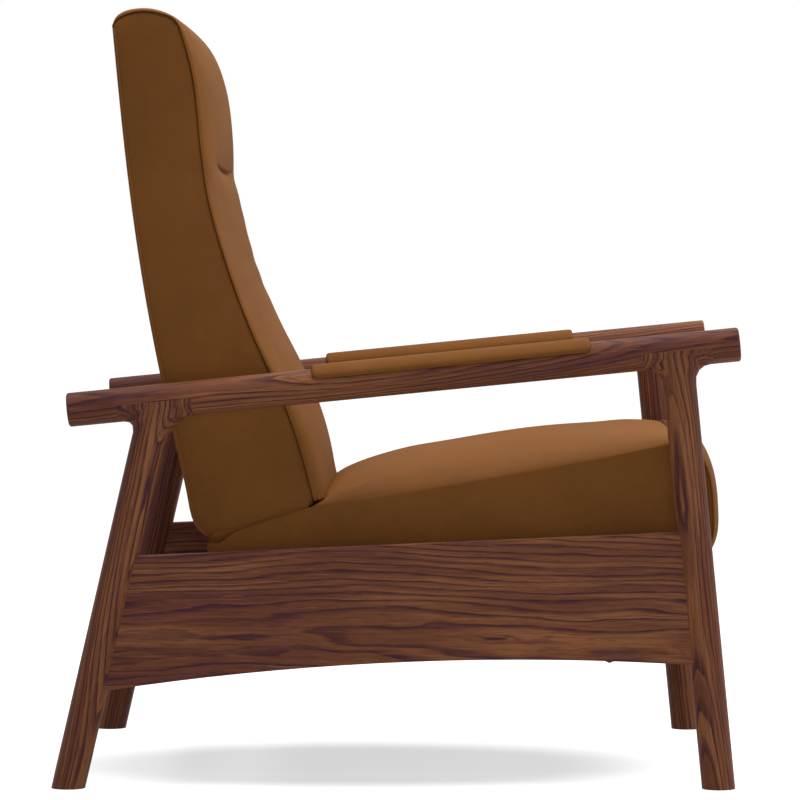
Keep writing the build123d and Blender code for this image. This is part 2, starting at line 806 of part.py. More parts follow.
def footrest_link_3(side):
    eyes = (FOLDED["lower"], FOLDED["pad_end"])
    holes = [(FOLDED[eye], LINK_HOLE) for eye in ("lower", "front_cross", "pad_end")]
    return link(side, INNER_LINK_LAYER, eyes, LINK_HALF_WIDTH, holes)


def footrest_link_4(side):
    eyes = (FOLDED["upper"], FOLDED["control"])
    bar = link(side, OUTER_LINK_LAYER, eyes, LINK_HALF_WIDTH, ())
    pins = [(FOLDED[eye], PIN_RADIUS, THROUGH_INNER) for eye in ("upper", "front_cross")]
    pins.append((FOLDED["control"], PIN_RADIUS, (OUTER_LINK_LAYER[1], CONTROL_LAYER[1])))
    return with_pins(side, bar, pins)


def footrest_control_link(side):
    """Keeps the pad at its angle; its riveted end meets the pad's bracket without a through pin."""
    eyes = (FOLDED["control"], CONTROL_EYE)
    return link(side, CONTROL_LAYER, eyes, CONTROL_HALF_WIDTH, ((FOLDED["control"], LINK_HOLE),))


def footrest_bracket(side):
    """Steel angle behind the footrest board, with the scissor's and the control link's eyes."""
    plate = link(side, OUTER_LINK_LAYER, (FOLDED["pad_end"], CONTROL_EYE), LINK_HALF_WIDTH, ())
    face = FOOT_PAD_REAR - BRACKET_THICK
    with BuildPart() as angle:
        add(plate.part)
        with BuildSketch(upright(side, OUTER_LINK_LAYER)):
            with BuildLine():
                Polyline(
                    (FOLDED["pad_end"][0], FOLDED["pad_end"][1] + LINK_HALF_WIDTH),
                    (FOOT_PAD_REAR, FOLDED["pad_end"][1] + LINK_HALF_WIDTH),
                    (FOOT_PAD_REAR, CONTROL_EYE[1] - LINK_HALF_WIDTH),
                    (CONTROL_EYE[0], CONTROL_EYE[1] - LINK_HALF_WIDTH),
                    close=True,
                )
            make_face()
        extrude(amount=thickness(OUTER_LINK_LAYER))
        flange_layer = (OUTER_LINK_LAYER[0] - BRACKET_FLANGE, OUTER_LINK_LAYER[0])
        with BuildSketch(upright(side, flange_layer)):
            with BuildLine():
                Polyline(
                    (face, FOLDED["pad_end"][1] + LINK_HALF_WIDTH),
                    (FOOT_PAD_REAR, FOLDED["pad_end"][1] + LINK_HALF_WIDTH),
                    (FOOT_PAD_REAR, CONTROL_EYE[1] - LINK_HALF_WIDTH),
                    (face, CONTROL_EYE[1] - LINK_HALF_WIDTH),
                    close=True,
                )
            make_face()
        extrude(amount=thickness(flange_layer))
    return with_pins(side, angle, ((FOLDED["pad_end"], PIN_RADIUS, THROUGH_INNER),))


def footrest_pad():
    """Front pad, which rolls over the top of its board."""
    closing = (
        (FOOT_BOARD_FRONT, FOOT_BOARD_BASE - 2),
        (FOOT_BOARD_FRONT, FOOT_BOARD_TOP),
        (FOOT_PAD_REAR, FOOT_BOARD_TOP),
    )
    return crowned(HALF_WIDTH, FOOT_SIDE, FOOT_MIDDLE, (closing, closing))


def mirrored(piece):
    """The left-hand twin of a right-hand piece."""
    with BuildPart() as twin:
        mirror(piece.part, about=Plane.XZ)
    return twin


os.makedirs("parts", exist_ok=True)

front_leg = leg(FRONT_FOOT, FRONT_HEAD, FRONT_FLARES, FRONT_LAP)
rear_leg = leg(REAR_FOOT, REAR_HEAD, REAR_FLARES, REAR_LAP)
turned_pieces = {
    "front_leg": front_leg,
    "rear_leg": rear_leg,
    "arm_rail": arm_rail(),
    "arm_pad": arm_pad(),
    "side_panel": side_panel((front_leg, rear_leg)),
}
for name, piece in turned_pieces.items():
    save(piece, name + "_right")
    save(mirrored(piece), name + "_left")

cross_pieces = {
    "front_stretcher": board(*FRONT_STRETCHER, CLEAT_LAYER[1]),
    "rear_stretcher": board(*REAR_STRETCHER, CLEAT_LAYER[1]),
    "cross_rod": cross_rod(),
    "seat_cushion": seat_cushion(),
    "seat_front_rail": seat_front_rail(),
    "seat_rear_rail": seat_rear_rail(),
    "seat_deck": seat_deck(),
    "back_cushion": back_cushion(),
    "back_panel": back_panel(),
    "back_top_rail": board(*BACK_TOP_RAIL, POST_LAYER[0]),
    "back_lower_rail": back_lower_rail(),
    "footrest_board": board(
        (FOOT_PAD_REAR, FOOT_BOARD_FRONT), (FOOT_BOARD_BASE, FOOT_BOARD_TOP), FOOT_BOARD_HALF
    ),
    "footrest_pad": footrest_pad(),
}
for name, piece in cross_pieces.items():
    save(piece, name)

side_pieces = {
    "mechanism_cleat": mechanism_cleat,
    "base_plate": base_plate,
    "front_swing_link": front_swing_link,
    "rear_swing_link": rear_swing_link,
    "recline_link": recline_link,
    "seat_side": seat_side,
    "seat_side_rail": seat_side_rail,
    "seat_plate": seat_plate,
    "seat_inner_plate": inner_plate,
    "back_side": back_side,
    "back_post": back_post,
    "back_bracket": back_bracket,
    "footrest_link_1": footrest_link_1,
    "footrest_link_2": footrest_link_2,
    "footrest_link_3": footrest_link_3,
    "footrest_link_4": footrest_link_4,
    "footrest_control_link": footrest_control_link,
    "footrest_bracket": footrest_bracket,
}
for name, make in side_pieces.items():
    for side, label in SIDES:
        save(make(side), name + "_" + label)
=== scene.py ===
import json
from math import atan2, cos, pi, radians, sin, sqrt

import bmesh
import bpy
import numpy as np
from bpy.props import FloatProperty, FloatVectorProperty, PointerProperty
from mathutils import Matrix, Vector

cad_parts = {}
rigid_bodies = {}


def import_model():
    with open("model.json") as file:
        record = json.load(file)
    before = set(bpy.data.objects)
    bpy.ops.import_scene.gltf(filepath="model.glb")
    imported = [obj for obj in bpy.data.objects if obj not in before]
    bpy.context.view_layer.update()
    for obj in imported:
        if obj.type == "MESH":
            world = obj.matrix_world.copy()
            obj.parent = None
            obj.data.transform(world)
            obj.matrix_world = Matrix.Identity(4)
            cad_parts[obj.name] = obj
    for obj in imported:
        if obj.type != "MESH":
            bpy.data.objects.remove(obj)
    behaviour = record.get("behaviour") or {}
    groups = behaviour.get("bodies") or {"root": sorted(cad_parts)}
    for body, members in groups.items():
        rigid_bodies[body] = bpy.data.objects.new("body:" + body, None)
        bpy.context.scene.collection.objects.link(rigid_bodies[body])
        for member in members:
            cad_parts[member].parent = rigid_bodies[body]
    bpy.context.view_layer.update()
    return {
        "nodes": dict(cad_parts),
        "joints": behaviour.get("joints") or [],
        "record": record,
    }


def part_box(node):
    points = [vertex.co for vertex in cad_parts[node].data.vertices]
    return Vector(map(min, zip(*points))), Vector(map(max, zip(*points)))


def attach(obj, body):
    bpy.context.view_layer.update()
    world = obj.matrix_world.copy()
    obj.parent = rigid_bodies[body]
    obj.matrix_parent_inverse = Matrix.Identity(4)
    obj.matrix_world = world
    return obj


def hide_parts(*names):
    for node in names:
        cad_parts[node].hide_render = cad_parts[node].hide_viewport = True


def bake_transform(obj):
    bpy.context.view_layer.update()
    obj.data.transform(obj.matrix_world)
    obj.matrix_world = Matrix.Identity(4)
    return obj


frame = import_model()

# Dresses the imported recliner: walnut, leather, enamelled steel, studio floor and camera.
# The outlines below are side views in millimetres, as pairs (X, Z). Y runs across the chair.

bl_info = {
    "name": "High-back recliner dressing",
    "version": (1, 0, 0),
    "blender": (4, 5, 0),
    "location": "View3D > Sidebar > Recliner",
    "description": "Upholsters and finishes the packed push-back recliner and sets its studio",
    "category": "Object",
}

MM = 0.001

# Crowned pads: points across them, and how their cover turns in behind the seams
STATIONS = 57
TUCK_BACK = (1.2, 2.0)
TUCK_IN = 2.2

# Back, from the lower front of the pad over the top to its rear lip
BACK_HALF_WIDTH = 300
BACK_SEAM = ((-106, 368), (-142, 488), (-182, 577), (-227, 700), (-246.5, 778), (-250, 803),
             (-252.5, 822), (-264, 924), (-277.8, 976), (-288, 996), (-302, 1002), (-320, 1005.5),
             (-335, 1005.5), (-350, 1001.5), (-362, 995), (-368.3, 985))
BACK_CROWN = ((-84, 375), (-115.5, 487), (-165, 577), (-214, 700), (-231, 778), (-233, 803),
              (-235, 822), (-244, 916), (-260, 974), (-276, 993), (-294, 1006), (-318, 1013.5),
              (-336, 1014), (-353, 1010.5), (-365.5, 1002), (-368.8, 986))
BACK_CORE = ((-118, 363), (-148, 488), (-188, 577), (-233, 700), (-253, 778), (-257, 803),
             (-259, 822), (-270, 920), (-284, 965), (-294, 985), (-306, 991), (-322, 994),
             (-336, 994), (-349, 991), (-358, 987), (-363, 984))
BACK_REAR = ((-246, 321.5), (-257, 330), (-265.5, 345), (-271.5, 372), (-283, 425), (-326.5, 636),
             (-352.4, 823), (-368.2, 983.5))
BACK_RINGS = 110
BACK_WINGS = (265, 262)
BACK_SHOULDERS = (0.65, 20, 2)

# Where the back pad's cover is sewn down: in from its sides, below its foot, behind its lip,
# round its core and, less firmly, across the headrest seam
BACK_SEWN_EDGE = 2.5
BACK_SEWN_FOOT = 402
BACK_SEWN_LIP = -345
BACK_SEWN_CORE = 9
BACK_SEWN_SEAM = (0.9, 9)
CORE_POINTS = 90

# Seam under the headrest: its bow, where it fades, the rings that carry it, and its narrow
# crease in a wider hollow
HEADREST_Z = 802
HEADREST_BOW = 3
HEADREST_BOW_AT = 130
HEADREST_HALF = 210
HEADREST_REACH = 60
HEADREST_BEHIND = -290
HEADREST_RINGS = (4.8, 4.88, 4.94, 5, 5.08, 5.16, 5.26)
HEADREST_CREASES = ((0.8, 2.6), (0.2, 14))

# Flat panels of the back
SIDE_RINGS = 90
SIDE_RING_RISE = 7.6
SIDE_STATIONS = 25
SIDE_INSIDE = 1.6
SIDE_SEAM_GAP = 1.2
SIDE_RELIEF = 2.2
SIDE_SOFT_EDGE = 7
SIDE_SOFT_END = 9
SIDE_SAG = 7
SIDE_SAG_RINGS = 9
SIDE_INNER_FACE = 266.5
REAR_RINGS = 60
REAR_STATIONS = 33
REAR_SHOULDERS = (1, 60, 2)
REAR_THICK = 5
REAR_WRAP = 3
REAR_CROWN = 2.5
REAR_OVER = (0.8, 0.4)

# Seat, from the back's foot to the front edge
SEAT_HALF_WIDTH = 303
SEAT_SKIRT = 290.4
SEAT_BASE = ((-245, 300), (369, 372))
SEAT_TROUGH = ((-245, 312.5), (-238, 312), (-229, 312), (-214, 324), (-204, 330.5), (-114, 356))
SEAT_TROUGH_SIDE = ((-245, 315), (-238, 314.2), (-229, 313.8), (-214, 326), (-204, 330.8),
                    (-114, 360.5))
SEAT_TROUGH_STEP = 5
SEAT_SIDE = ((-114, 360.5), (-89, 365), (0, 377), (109.5, 396), (232.8, 418), (330, 438),
             (369, 446.5))
SEAT_CROWN = ((-114, 356), (-84.9, 387.5), (-2.4, 402), (112.3, 417.5), (241.4, 432.5),
              (330, 440.5), (369, 455.5))
SEAT_RINGS = 74
SEAT_SHOULDERS = (0.75, 8, 2)
SEAT_WALLS = (0.0, 0.25, 0.5, 0.75)
SEAT_RAIL_OUTSIDE = 285.5

# Small steps in and down that round the seat's rear and front ends
SEAT_REAR_END = ((0.0, 2.5), (0.4, 1.2), (1.4, 0.3))
SEAT_FRONT_END = ((2.0, 0.0), (0.7, 0.3), (0.1, 1.0), (0.0, 2.0))

# Where the seat's cover is sewn down, up to where its side walls roll over
SEAT_SEWN_REAR = -100
SEAT_SEWN_FRONT = 364
SEAT_SEWN_BASE = 4
SEAT_SEWN_WALL = 0.5
SEAT_ROLL = 8

SEAT_APRON = ((362.6, -245, 289.4), (366.2, 245, 370))
SEAT_APRON_ROUNDING = 0.0013

# Gusset in the fold between the seat and the back: its edges on the seat, then on the back
GUSSET_FOOT = ((-243.5, 313), (-228, 313.5), (-204, 329), (-160, 341), (-116, 353))
GUSSET_HEAD = ((-243.5, 326), (-230, 332), (-204, 341), (-160, 354), (-112, 369))
GUSSET_HALF_WIDTH = 299.4
GUSSET_STATIONS = 61
GUSSET_RISES = (0, 0.16, 0.33, 0.5, 0.67, 0.84, 1)
GUSSET_BULGE = 1.5
GUSSET_REAR_BULGE = 1.2
GUSSET_ENDS = 40

# Footrest pad, from its top rear edge over the front to its lower edge
FOOT_SIDE = ((371, 437.8), (390, 433), (402, 418), (410, 390), (413, 356), (412, 322), (404, 294))
FOOT_CROWN = ((371, 460), (398, 452), (417, 423), (425.5, 390), (428.6, 350), (424.7, 314.4),
              (408, 291))
FOOT_INNER = ((371, 418), (386.8, 418), (386.8, 400), (386.8, 380), (386.8, 350), (386.8, 322),
              (386.8, 293))
FOOT_RINGS = 40
FOOT_WINGS = (302.4, 301.5)
FOOT_SHOULDERS = (0.65, 6, 2)
FOOT_COVER_OUT = np.array((0.0008, 0.0058, 0.0008))
FOOT_COVER_ROUNDING = 0.003

# Frame: where its sides stand, and the axes of the rails and legs
SIDE_Y = 345
RAIL_RADIUS = 22
RAIL_REAR = (-422.3, 489)
RAIL_FRONT = (442.9, 574)
FRONT_LEG = ((417.7, 0), (362, 566))
REAR_LEG = ((-423.3, 0), (-307.3, 500))

# Arm pads, along and round the rail, with the distances over which their ends round off
PAD_REACH = (318, 678)
PAD_THICK = 6
PAD_HALF_ANGLE = 67
PAD_END_STEPS = (0, 0.5, 1.5, 3, 5, 8)
PAD_STEP = 10
PAD_ROUND_CORNER = 8
PAD_ROUND_EDGE = 5
PAD_CORNER_CUT = 0.26
PAD_CLEAR = (0.15, 0.25)
PAD_UNDER = 0.985

# Walnut: each piece's name, middle, axis, the pith's place across it in metres, the stretch
# of trunk it shows in metres, and how wide its rings are and how far they wander
SIDE_GRAIN = (
    ("arm_rail", (10, 531), (RAIL_REAR, RAIL_FRONT), (0.055, 0.035), 1.0, 0.6, 0.8),
    ("front_leg", (390, 280), FRONT_LEG, (0.06, 0.045), 2.7, 0.5, 0.7),
    ("rear_leg", (-365, 250), REAR_LEG, (0.055, -0.05), 8.1, 0.5, 0.7),
    ("side_panel", (0, 232), ((0, 0), (1, 0)), (0.028, 0.045), 4.4, 1.0, 1.0),
)
LEFT_SIDE_SHIFT = 5.3
CROSS_GRAIN = (
    ("front", (239, 0, 201), (0.04, 0.03), 3.3, 0.8),
    ("rear", (-319, 0, 212), (0.04, 0.03), 6.6, 0.8),
)

# Rivet heads and collars, turned from radius and height, and how far from the middle they sit
RIVET = ((0, 2.2), (2.4, 2.0), (4.4, 1.3), (5.8, 0.5), (6.2, 0), (0, 0))
RIVET_Y = 253.7
COLLAR = ((10.05, 0.2), (14.6, 0.2), (15.4, 0.9), (15.4, 2.4), (14.6, 3.1), (10.05, 3.1),
          (10.05, 0.2))
COLLAR_Y = 253.6
CROSS_ROD = (-169.6, 176.9)
TURNED_STEPS = 24

# Studio, in metres: the lamps with the choice that holds their power, and the camera
LAMPS = (
    ("key light", (3.3, -0.3, 1.6), 3.0, "key"),
    ("top light", (0.3, 0.0, 3.2), 4.2, "top"),
    ("side light", (0.1, -1.9, 0.4), 1.4, "side"),
)
LAMPS_AIM = (0, 0, 0.5)
FLOOR_SIZE = 40
FLOOR_SHADOW_SCALE = (1.8, 3.0, 0.0)
FLOOR_SHADOW_SHIFT = (0.1, 0.3, 0.0)
FLOOR_SHADOW_FADE = (0.5, 0.95)
CAMERA_PLACE = (0.055, -5.615, 0.676)
CAMERA_LOOK = (-0.00929, 1, -0.033)

# Cloth of the covers, and how strongly and often it is eased after it is blown out
CLOTH = {
    "quality": 6, "mass": 0.4, "tension_stiffness": 25, "compression_stiffness": 25,
    "shear_stiffness": 15, "bending_stiffness": 2, "use_pressure": True,
}
EASE = (0.5, 12)
SEWN = "sewn down"


def colour(red, green, blue):
    """A colour read off a screen, 0 to 255, as the linear colour that a socket takes."""
    def linear(value):
        value /= 255
        return value / 12.92 if value <= 0.04045 else ((value + 0.055) / 1.055) ** 2.4
    return (linear(red), linear(green), linear(blue), 1.0)


# Sizes and colours that a user would change

def colour_choice(name, description, default):
    """A colour that a user may change."""
    return FloatVectorProperty(name=name, description=description, subtype="COLOR", size=4,
                               min=0, max=1, default=default)


class LeatherChoice(bpy.types.PropertyGroup):
    tone: colour_choice("Leather", "Colour of the hide", colour(140, 90, 44))
    grain: FloatProperty(
        name="Grain", description="Width of one pebble of the hide's grain",
        default=0.0011, min=0.0004, max=0.01, unit="LENGTH",
    )
    pressure: FloatProperty(
        name="Filling pressure", description="How hard the filling pushes the cover out",
        default=4.0, min=0.0, max=12.0,
    )
    swell: FloatProperty(
        name="Largest swell", description="The furthest that the filling may push the cover",
        default=0.022, min=0.0, max=0.03, unit="LENGTH",
    )
    headrest_depth: FloatProperty(
        name="Headrest seam depth", description="How far the seam under the headrest is pulled in",
        default=0.008, min=0.0, max=0.02, unit="LENGTH",
    )


class WalnutChoice(bpy.types.PropertyGroup):
    body: colour_choice("Walnut", "Main colour of the walnut", colour(120, 71, 48))
    pale: colour_choice("Pale figure", "Colour of the lighter figure", colour(147, 94, 60))
    plum: colour_choice("Plum figure", "Colour of the broad reddish bands", colour(100, 54, 49))
    dark: colour_choice("Dark figure", "Colour of the late wood of each ring", colour(62, 31, 40))
    ring: FloatProperty(
        name="Growth ring", description="Width of one growth ring",
        default=0.0075, min=0.002, max=0.05, unit="LENGTH",
    )


class StudioChoice(bpy.types.PropertyGroup):
    floor: colour_choice("Floor", "Colour of the floor", (0.5, 0.5, 0.5, 1.0))
    key: FloatProperty(
        name="Key light", description="Power of the large light above the front",
        default=24.0, min=0.0, unit="POWER",
    )
    top: FloatProperty(
        name="Top light", description="Power of the wide light overhead",
        default=114.0, min=0.0, unit="POWER",
    )
    side: FloatProperty(
        name="Side light", description="Power of the low light beside the camera",
        default=6.0, min=0.0, unit="POWER",
    )
    fill: FloatProperty(
        name="Fill light", description="Strength of the light from all round",
        default=0.12, min=0.0,
    )
    # Share of painted white glow on the floor near the chair
    lift: FloatProperty(
        name="Floor white", description="How far the floor is lifted towards white near the chair",
        default=0.62, min=0.0, max=1.0,
    )
    lens: FloatProperty(
        name="Lens", description="Focal length on a 36 mm sensor",
        default=184.1, min=20.0, max=400.0, unit="CAMERA",
    )


# Curves and loops

def knots(points):
    """Distance along the straight runs between points, at each of them."""
    steps = np.linalg.norm(np.diff(points, axis=0), axis=1)
    return np.concatenate(([0.0], np.cumsum(steps)))


def smooth_line(points):
    """Natural cubic line through side-view points. Gives a function of a position that
    counts in points, so that two outlines with the same number of points stay in step."""
    points = np.array(points, float)
    at = knots(points)
    gap = np.diff(at)
    count = len(points)
    matrix, right = np.eye(count), np.zeros((count, 2))
    for i in range(1, count - 1):
        before, after = points[i] - points[i - 1], points[i + 1] - points[i]
        matrix[i, i - 1:i + 2] = gap[i - 1], 2 * (gap[i - 1] + gap[i]), gap[i]
        right[i] = 6 * (after / gap[i] - before / gap[i - 1])
    bend = np.linalg.solve(matrix, right)

    def place(position):
        i = min(int(position), count - 2)
        share = position - i
        rest = 1 - share
        return (
            rest * points[i] + share * points[i + 1]
            + gap[i] ** 2 / 6 * ((rest ** 3 - rest) * bend[i] + (share ** 3 - share) * bend[i + 1])
        )

    return place


def even_positions(points, count):
    """Positions along a smooth line that lie evenly along its length."""
    place = smooth_line(points)
    fine = np.linspace(0, len(points) - 1, 40 * len(points))
    length = knots(np.array([place(p) for p in fine]))
    return np.interp(np.linspace(0, length[-1], count), length, fine)


def even_points(points, count):
    """Points that lie evenly along a smooth line."""
    place = smooth_line(points)
    return [place(p) for p in even_positions(points, count)]


def even_run(corners, gap):
    """Points about a gap apart along straight runs, without the first corner and the last."""
    out = []
    for start, end in zip(corners, corners[1:]):
        parts = max(1, round((end - start)[0] / gap))
        out += [start + (end - start) * i / parts for i in range(parts)]
    return out[1:]


def point(x, y, z):
    """A point in metres from millimetres."""
    return Vector((x * MM, y * MM, z * MM))


def loop(bm, points):
    """A closed loop of edges through points."""
    verts = bmesh.ops.create_circle(bm, segments=len(points), radius=1.0)["verts"]
    for vert, place in zip(verts, points):
        vert.co = place
    return list({edge for vert in verts for edge in vert.link_edges})


def lofted(rings):
    """A closed skin over rings of points that all have the same number."""
    bm = bmesh.new()
    loops = [loop(bm, ring) for ring in rings]
    for first, second in zip(loops, loops[1:]):
        bmesh.ops.bridge_loops(bm, edges=first + second)
    for end in (loops[0], loops[-1]):
        cap = bmesh.ops.contextual_create(bm, geom=end)["faces"]
        bmesh.ops.triangulate(bm, faces=cap, ngon_method="EAR_CLIP")
    bmesh.ops.recalc_face_normals(bm, faces=bm.faces)
    return bm


def soft_slab(low, high, rounding):
    """A box between two corners with its edges rounded over."""
    bm = bmesh.new()
    bmesh.ops.create_cube(bm, size=1.0)
    bmesh.ops.scale(bm, verts=bm.verts, vec=high - low)
    bmesh.ops.translate(bm, verts=bm.verts, vec=(low + high) / 2)
    bmesh.ops.bevel(bm, geom=bm.edges, offset=rounding, segments=4, profile=0.5, affect="EDGES",
                    material=-1)
    return bm


def piece(name, bm, finish, smooth=True):
    """A bmesh as an object of the scene, with its finish."""
    mesh = bpy.data.meshes.new(name)
    bm.to_mesh(mesh)
    bm.free()
    made = bpy.data.objects.new(name, mesh)
    bpy.context.scene.collection.objects.link(made)
    mesh.materials.append(finish)
    if smooth:
        mesh.shade_smooth()
    return made


def with_modifiers(made):
    """Makes the piece's modifiers part of its mesh."""
    bpy.ops.object.select_all(action="DESELECT")
    bpy.context.view_layer.objects.active = made
    made.select_set(True)
    for name in [modifier.name for modifier in made.modifiers]:
        bpy.ops.object.modifier_apply(modifier=name)


def filled(made, held, pressure, cap):
    """Blows the cover out with the filling's pressure; held(co) is 1 where it is sewn down."""
    mesh = made.data
    rest = np.array([v.co for v in mesh.vertices])
    group = made.vertex_groups.new(name=SEWN)
    for vert in mesh.vertices:
        group.add([vert.index], held(vert.co / MM), "REPLACE")
    cloth = made.modifiers.new("filling", "CLOTH")
    for name, value in CLOTH.items():
        setattr(cloth.settings, name, value)
    cloth.settings.uniform_pressure_force = pressure
    cloth.settings.effector_weights.gravity = 0
    cloth.settings.vertex_group_mass = SEWN
    cloth.point_cache.frame_start = 1
    cloth.point_cache.frame_end = 20
    for frame_number in range(1, 21):
        bpy.context.scene.frame_set(frame_number)
    with_modifiers(made)
    bpy.context.scene.frame_set(1)
    moved = np.array([v.co for v in mesh.vertices]) - rest
    length = np.linalg.norm(moved, axis=1, keepdims=True)
    moved *= np.minimum(1, cap / np.maximum(length, 1e-9))
    mesh.vertices.foreach_set("co", (rest + moved).ravel())
    mesh.update()
    ease = made.modifiers.new("ease", "SMOOTH")
    ease.factor, ease.iterations = EASE
    ease.vertex_group = SEWN
    ease.invert_vertex_group = True
    with_modifiers(made)
    made.vertex_groups.clear()


def finer(made):
    """Divides the piece's faces once, smoothly."""
    subdivision = made.modifiers.new("finer", "SUBSURF")
    subdivision.levels = subdivision.render_levels = 1
    with_modifiers(made)


# Materials

class Bench:
    """Places nodes in one tree and wires them."""

    def __init__(self, tree):
        self.tree = tree

    def put(self, kind, inputs=None, **settings):
        """A new node with its settings, and its inputs by name or number."""
        family = "" if kind.startswith("NodeGroup") else "ShaderNode"
        node = self.tree.nodes.new(family + kind)
        for name, value in settings.items():
            setattr(node, name, value)
        for name, value in (inputs or {}).items():
            self.join(value, node.inputs[name])
        return node

    def join(self, value, socket):
        """Links a socket to another, or sets it to a plain value."""
        if isinstance(value, bpy.types.NodeSocket):
            self.tree.links.new(value, socket)
        else:
            socket.default_value = value

    def maths(self, operation, *values):
        return self.put("Math", dict(enumerate(values)), operation=operation).outputs[0]

    def times(self, first, second):
        return self.maths("MULTIPLY", first, second)

    def plus(self, first, second):
        return self.maths("ADD", first, second)

    def grey(self, value):
        return self.put("CombineColor", {0: value, 1: value, 2: value}).outputs[0]

    def place(self):
        return self.put("TexCoord").outputs["Object"]

    def stretched(self, vector, scale):
        return self.put("VectorMath", {0: vector, 1: scale}, operation="MULTIPLY").outputs[0]

    def noise(self, vector, scale=1.0, detail=2.0, roughness=0.5):
        return self.put(
            "TexNoise", {"Vector": vector, "Scale": scale, "Detail": detail, "Roughness": roughness}
        ).outputs["Fac"]

    def ramp(self, value, low, high, bottom=0.0, top=1.0, smooth=True):
        return self.put(
            "MapRange",
            {"Value": value, "From Min": low, "From Max": high, "To Min": bottom, "To Max": top},
            interpolation_type="SMOOTHSTEP" if smooth else "LINEAR",
        ).outputs[0]

    def mixed(self, share, first, second, blend="MIX"):
        return self.put("Mix", {0: share, 6: first, 7: second}, data_type="RGBA",
                        blend_type=blend, clamp_result=True).outputs[2]


def node_group(name, inputs):
    """A shader group that makes a colour, roughness and height, and the bench to fill it."""
    tree = bpy.data.node_groups.new(name, "ShaderNodeTree")
    for label, kind, value in inputs:
        socket = tree.interface.new_socket(label, in_out="INPUT", socket_type="NodeSocket" + kind)
        if value is not None:
            socket.default_value = value
    for label, kind in (("Color", "Color"), ("Roughness", "Float"), ("Height", "Float")):
        tree.interface.new_socket(label, in_out="OUTPUT", socket_type="NodeSocket" + kind)
    bench = Bench(tree)
    return bench, bench.put("NodeGroupInput").outputs, bench.put("NodeGroupOutput").inputs


def walnut_group():
    """Growth rings round a pith line along X, with dark late wood, fibres and pores."""
    bench, given, wanted = node_group(
        "walnut figure",
        (("Vector", "Vector", None), ("Body", "Color", None), ("Pale", "Color", None),
         ("Dark", "Color", None), ("Plum", "Color", None), ("Ring", "Float", 0.007),
         ("Wander", "Float", 1.0)),
    )
    x, y, z = bench.put("SeparateXYZ", {0: given["Vector"]}).outputs

    def grain(along, across, detail=1.0, roughness=0.5):
        """Noise drawn out along the piece."""
        drawn = bench.stretched(given["Vector"], (along, across, across))
        return bench.noise(drawn, 1.0, detail, roughness)

    aside = bench.plus(y, bench.ramp(grain(1.1, 1.2, 0.0), 0.0, 1.0, -0.03, 0.03, False))
    above = bench.plus(z, bench.ramp(grain(1.5, 0.6), 0.0, 1.0, -0.055, 0.055, False))
    distance = bench.maths("SQRT", bench.plus(bench.times(aside, aside), bench.times(above, above)))
    sway = bench.plus(bench.ramp(grain(3.2, 22.0), 0.0, 1.0, -1.5, 1.5, False),
                      bench.ramp(grain(13.0, 90.0), 0.0, 1.0, -0.45, 0.45, False))
    turns = bench.plus(bench.maths("DIVIDE", distance, given["Ring"]),
                       bench.times(sway, given["Wander"]))

    def along_rings(per_turn, per_metre, detail):
        """Noise that changes from ring to ring and slowly along each."""
        place = bench.put("CombineXYZ", {0: bench.times(turns, per_turn),
                                         1: bench.times(x, per_metre), 2: 0.0})
        return bench.noise(place.outputs[0], 1.0, detail)

    def late(per_turn, start, peak):
        """Late wood, which darkens slowly up to its peak and stops short with the ring."""
        share = bench.maths("FRACT", bench.times(turns, per_turn))
        return bench.times(bench.ramp(share, start, peak), bench.ramp(share, 1.0, peak + 0.02))

    line = bench.times(late(1.0, 0.46, 0.93),
                       bench.ramp(along_rings(0.9, 4.0, 1.0), 0.3, 0.5, 0.45, 1.0))
    line = bench.times(line, bench.ramp(grain(24.0, 300.0, 2.0), 0.3, 0.5, 0.6, 1.0))
    thin = bench.times(late(3.3, 0.45, 0.85), bench.ramp(along_rings(2.3, 6.0, 1.0), 0.42, 0.6))
    pale = bench.ramp(along_rings(0.6, 2.0, 3.0), 0.42, 0.6)
    plum = bench.ramp(along_rings(0.25, 1.3, 3.0), 0.5, 0.6, 0.0, 0.75)
    ember = bench.ramp(grain(18.0, 480.0), 0.62, 0.74, 0.0, 0.5)
    tone = given["Body"]
    for share, label in ((pale, "Pale"), (plum, "Plum"), (bench.times(thin, 0.6), "Plum"),
                         (bench.times(line, 0.95), "Dark"), (ember, "Pale")):
        tone = bench.mixed(share, tone, given[label])
    fibre = grain(14.0, 340.0, 4.0, 0.7)
    pore = bench.ramp(grain(45.0, 900.0), 0.6, 0.72)
    shade = bench.times(bench.ramp(fibre, 0.3, 0.7, 0.7, 1.3, False),
                        bench.ramp(pore, 0.0, 1.0, 1.0, 0.66, False))
    bench.join(bench.mixed(1.0, tone, bench.grey(shade), "MULTIPLY"), wanted["Color"])
    bench.join(bench.ramp(fibre, 0.2, 0.8, 0.5, 0.64, False), wanted["Roughness"])
    bench.join(bench.maths("SUBTRACT", bench.times(fibre, 0.5), bench.times(pore, 0.8)),
               wanted["Height"])


